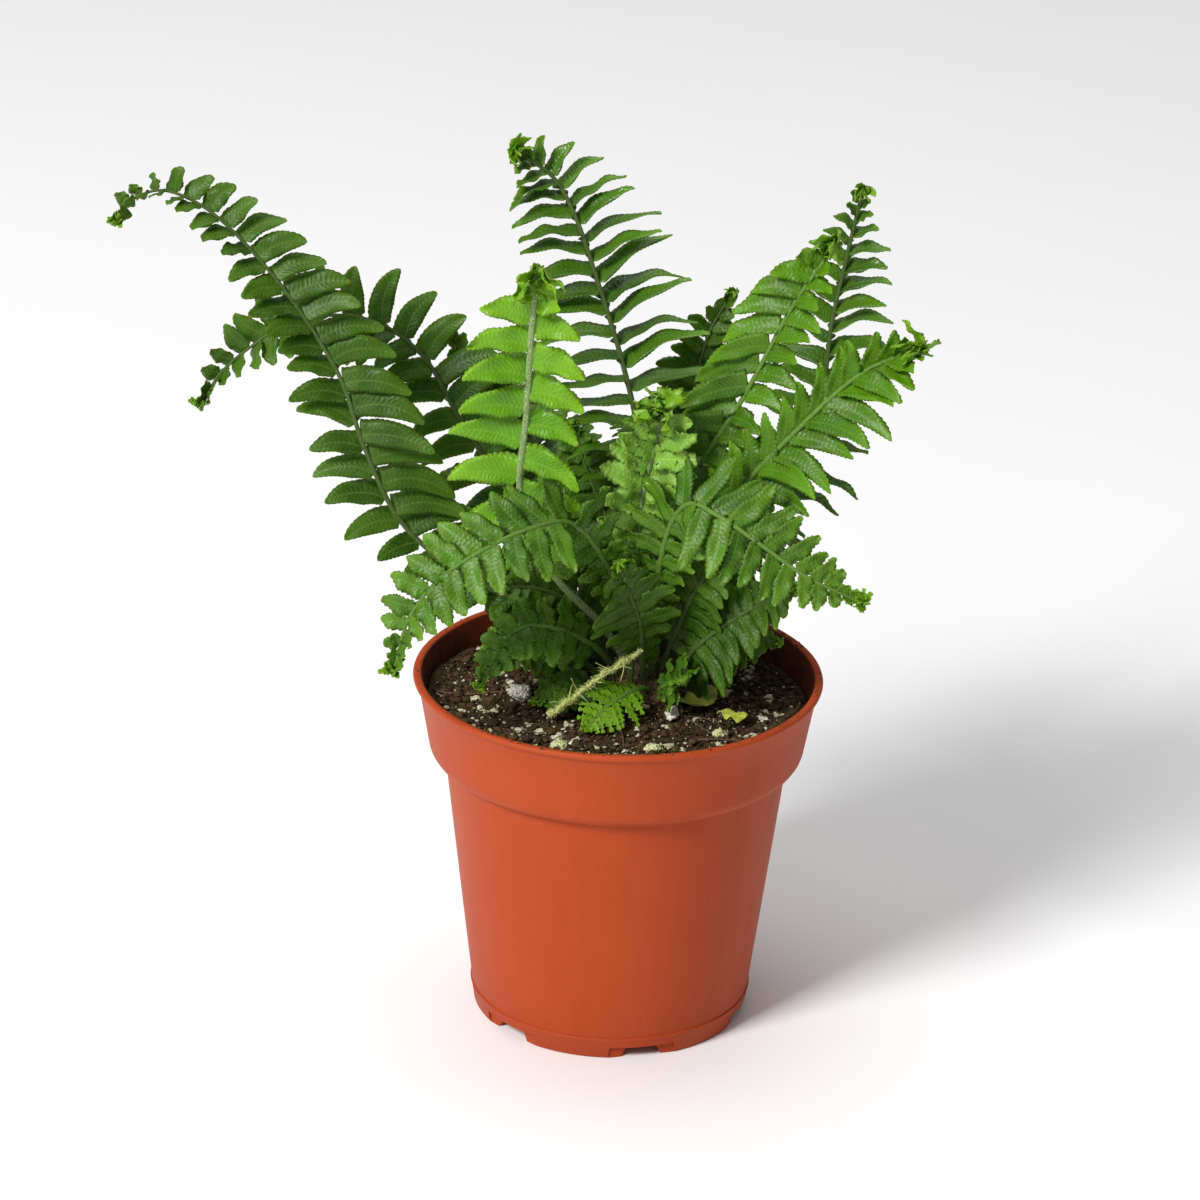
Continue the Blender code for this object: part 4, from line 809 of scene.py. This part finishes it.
def make_soil():
    rng = np.random.default_rng(77)
    peat = soil_material("peat_mix", (0.015, 0.009, 0.004), (0.072, 0.041, 0.015), (0.23, 0.15, 0.06))
    build = Build()
    rings = [(radius, EDGE_HEIGHT) for radius in np.linspace(SOIL_EDGE, 0.7, 84)]
    turned(build, SOIL_WALL + rings + [(0.0, PLATEAU_HEIGHT)], 250, soil_lift, 0.12)
    keep(build.make("soil_bed", [peat]), "soil", "potting_soil")
    crumbs = Build()
    scatter(crumbs, rng, 4200, (0.22, 0.75), 48.6, rough=0.5, marks=(0.0, 0.45))
    scatter(crumbs, rng, 420, (0.7, 1.6), 48.0, fine=2, rough=0.6, marks=(0.0, 0.5))
    bark = Build()
    scatter(bark, rng, 190, (0.7, 1.7), 47.6, flat=0.35, rough=0.5, marks=(0.2, 1.0))
    chips = bark.make("soil_bark", [soil_material("bark_bits", (0.03, 0.014, 0.008),
                                                  (0.08, 0.036, 0.018), (0.19, 0.105, 0.055))])
    fibres = Build()
    for _ in range(70):
        radius, angle = 46 * sqrt(rng.random()), rng.uniform(0, 6.28)
        x, y = radius * cos(angle), radius * sin(angle)
        turn, reach = rng.uniform(0, 6.28), rng.uniform(2, 7)
        line = []
        for t in np.linspace(-1, 1, 4):
            px = x + reach * t * cos(turn) + rng.uniform(-0.8, 0.8)
            py = y + reach * t * sin(turn) + rng.uniform(-0.8, 0.8)
            lim = min(1.0, 48.0 / max(hypot(px, py), 1e-6))
            px, py = px * lim, py * lim
            line.append((px, py, float(soil_height(px, py)) + rng.uniform(0.1, 1.0)))
        curve, _ = smooth_curve(line, 14)
        tube(fibres, curve, np.full(15, rng.uniform(0.07, 0.17)), np.tile(UP, (15, 1)), 5, slot=0,
             mark=rng.random())
    roots = fibres.make("soil_fibres", [soil_material("root_fibres", (0.05, 0.028, 0.014),
                                                      (0.13, 0.075, 0.038), (0.3, 0.2, 0.11))])
    for _ in range(170):
        verts, tris = lump(rng, 1, 0.5)
        size, angle = rng.uniform(0.1, 0.3), rng.uniform(0, 2 * pi)
        radius = rng.uniform(*LIP_RADII)
        rim = (radius * cos(angle), radius * sin(angle), RIM_HEIGHT + 0.3 * size)
        crumbs.add(verts * size + rim, [], tris, np.tile((0, 0, rng.random()), (len(verts), 1)))
    grains = Build()
    scatter(grains, rng, 900, (0.16, 0.42), 48.2, front=0.3, rough=0.5, marks=(0.0, 0.7))
    scatter(grains, rng, 210, (0.4, 0.85), 48.0, 0.6, fine=2, front=0.4, rough=0.75, marks=(0.0, 0.9))
    scatter(grains, rng, 80, (0.8, 1.8), 46.5, 0.5, fine=3, front=0.6, rough=0.9)
    loose = crumbs.make("soil_crumbs", [peat])
    white = grains.make("soil_perlite", [stone_material("perlite_grains", (0.8, 0.77, 0.62),
                                                        (0.6, 0.57, 0.38), (0.4, 0.38, 0.1))])
    for piece in (loose, chips, roots):
        keep(piece, "soil")
    keep(white, "perlite")


make_soil()


def make_stones():
    pumice = stone_material("pumice_stone", (0.92, 0.89, 0.78), (0.76, 0.7, 0.56), (0.4, 0.31, 0.2))
    green = stone_material("perlite_tinted", (0.74, 0.76, 0.46), (0.58, 0.61, 0.26), (0.32, 0.34, 0.1))
    for number, node in enumerate(("pumice_chip_large", "pumice_chip_small", "perlite_chip_left",
                                   "perlite_chip_right", "perlite_chip_front", "perlite_chip_back")):
        rng = np.random.default_rng(30 + number)
        low, high = (np.array(corner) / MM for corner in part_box(node))
        centre, half = (low + high) / 2, (high - low) / 2
        verts, tris = ICO[4]
        rough = np.array([0.96 + 0.3 * noise.fractal(Vector(v * 1.5) + Vector((number * 7.3,) * 3), 0.75,
                                                      2.2, 5) for v in verts])
        verts = verts * rough[:, None] * half * 1.04 + centre - (0, 0, 0.5)
        build = Build()
        build.add(verts, [], tris, np.tile((0, 0, 0.15), (len(verts), 1)))
        stone = build.make(node.replace("_chip", "_lump"), [pumice if "pumice" in node else green])
        keep(stone, "pumice" if "pumice" in node else "perlite", node)


make_stones()


def make_fallen():
    dry = dry_material("dry_leaflet", (0.62, 0.66, 0.1), (0.36, 0.46, 0.03), (0.2, 0.15, 0.03))
    limp = HABITS["limp"]
    for number, (node, turn, length, width) in enumerate((("fallen_leaflet_left", 70, 12.6, 10.0),
                                                          ("fallen_leaflet_right", 150, 8.2, 6.6))):
        rng = np.random.default_rng(60 + number)
        low, high = (np.array(corner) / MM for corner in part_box(node))
        centre, angle = (low + high) / 2, radians(turn)
        way = np.array((cos(angle), sin(angle), 0.0))
        edge = np.array((-sin(angle), cos(angle), 0.0))
        build = Build()
        foot = centre - way * length / 2 + (0, 0, 0.7)
        leaflet(build, foot, (edge, UP, way), length, width, limp, rng, 0.0, 0.06, 0.0, 0.0, 1, curl=0.05,
                columns=10)
        keep(build.make(node.replace("_leaflet", "_leaf"), [dry]), "leaf_dry", node)


make_fallen()


def make_stolon():
    rng = np.random.default_rng(90)
    curve, _ = smooth_curve(STOLON_ROUTE, 90)
    wobble = np.array([noise.fractal(Vector((i * 0.13, 2.0, 5.0)), 0.7, 2.0, 3) for i in range(91)])
    curve = curve + np.stack([0 * wobble, 0.5 * wobble, 0.6 * wobble], 1)
    radii = 0.4 + 0.34 * np.linspace(0, 1, 91) + 0.22 * wobble
    ups = np.tile(UP, (91, 1))
    build = Build()
    tube(build, curve, radii, ups, 12, slot=0)
    for _ in range(26):
        at = int(rng.integers(4, 88))
        way = unit(rng.normal(0, 1, 3) + (0, -0.3, 0.2))
        bend = unit(rng.normal(0, 1, 3))
        t = np.linspace(0, 1, 8)[:, None]
        reach = rng.uniform(1.6, 4.2)
        line = curve[at] + way * reach * t + bend * 0.5 * reach * t**2
        tube(build, line, np.linspace(0.2, 0.07, 8), np.tile((0.1, 0.2, 1.0), (8, 1)), 5, slot=0)
    count = 900
    at = rng.integers(2, 89, count)
    along = unit(np.gradient(curve, axis=0))
    side = unit(np.cross(along, ups))
    up = np.cross(side, along)
    spin = rng.uniform(0, 6.28, count)
    ways = side[at] * np.cos(spin)[:, None] + up[at] * np.sin(spin)[:, None]
    feet = curve[at] + ways * (radii[at] * 0.85)[:, None]
    spikes(build, feet, ways + along[at] * rng.uniform(-0.4, 1.4, (count, 1)),
           rng.uniform(0.5, 1.5, count), rng.uniform(0.08, 0.17, count), slot=0)
    runner = build.make("stolon_runner", [dry_material("dry_runner", (0.76, 0.78, 0.32), (0.6, 0.65, 0.17),
                                                       (0.3, 0.24, 0.08))])
    keep(runner, "stolon_dry", "stolon")


make_stolon()


def make_crown():
    rng = np.random.default_rng(12)
    build = Build()
    dome = [(CROWN_RADIUS * cos(a), CROWN_RISE * sin(a)) for a in np.linspace(0.05, 1.5, 16)]
    turned(build, [(0.0, -1.2), (CROWN_RADIUS, -1.2), *dome, (0.0, CROWN_RISE)], 64)
    build.verts[-1] = build.verts[-1] + CROWN_CENTRE
    count = 900
    angle, climb = rng.uniform(0, 6.28, count), rng.uniform(0.0, 1.35, count)
    outward = np.stack([np.cos(angle) * np.cos(climb), np.sin(angle) * np.cos(climb), np.sin(climb)], 1)
    feet = CROWN_CENTRE + outward * (CROWN_RADIUS, CROWN_RADIUS, CROWN_RISE)
    ways = outward + rng.normal(0, 0.5, (count, 3)) + (0, 0, 0.5)
    spikes(build, feet, ways, rng.uniform(0.8, 3.0, count), rng.uniform(0.1, 0.28, count), slot=0)
    heart = build.make("crown_rhizome", [dry_material("crown_chaff", (0.3, 0.2, 0.1), (0.14, 0.075, 0.03),
                                                      (0.06, 0.03, 0.015))])
    keep(heart, "crown_scales", "crown")


make_crown()

# ---- floor, light and camera


def make_stage():
    m = Shade("studio_floor")
    material = m.finish(m.mix(m.noise(6, 2, 0.5), (0.93,) * 3, (0.96,) * 3), 0.8)
    bpy.ops.mesh.primitive_plane_add(size=8.0, location=(0, 0, 0))
    floor = bpy.context.active_object
    floor.name = "studio_floor"
    floor.data.materials.append(material)
    world = bpy.data.worlds.new("studio")
    world.use_nodes = True
    sky = world.node_tree.nodes["Background"]
    seen = world.node_tree.nodes.new("ShaderNodeLightPath").outputs["Is Camera Ray"]
    strength = world.node_tree.nodes.new("ShaderNodeMapRange")
    strength.inputs["To Min"].default_value, strength.inputs["To Max"].default_value = 0.24, 0.9
    world.node_tree.links.new(seen, strength.inputs["Value"])
    world.node_tree.links.new(strength.outputs["Result"], sky.inputs["Strength"])
    sky.inputs["Color"].default_value = (1.0, 1.0, 1.0, 1.0)
    scene.view_settings.view_transform = "Standard"
    scene.world = world
    for name, place, size, power in (("key", (-1.55, -1.66, 1.9), 0.8, 88.0),
                                     ("top", (-0.2, 0.6, 2.8), 2.0, 30.0)):
        data = bpy.data.lights.new(name, "AREA")
        data.size, data.energy = size, power
        lamp = linked(name, data)
        lamp.location = place
        aim = Vector((0, 0, 0.12)) - Vector(place)
        lamp.rotation_euler = aim.to_track_quat("-Z", "Y").to_euler()


make_stage()


def make_camera():
    """The photograph's view: a long lens, looking down a little, with the picture turned slightly."""
    aim, distance = Vector((-0.0053, 0.0, 0.1157)), 1.05
    pitch, roll = radians(22.6), radians(1.5)
    data = bpy.data.cameras.new("photo_view")
    data.lens, data.sensor_width, data.clip_start = 120.5, 36.0, 0.05
    camera = linked("photo_view", data)
    turn = Matrix.Rotation(pi / 2 - pitch, 4, "X") @ Matrix.Rotation(roll, 4, "Z")
    camera.matrix_world = Matrix.Translation(aim) @ turn @ Matrix.Translation((0.0, 0.0, distance))
    scene.camera = camera


make_camera()
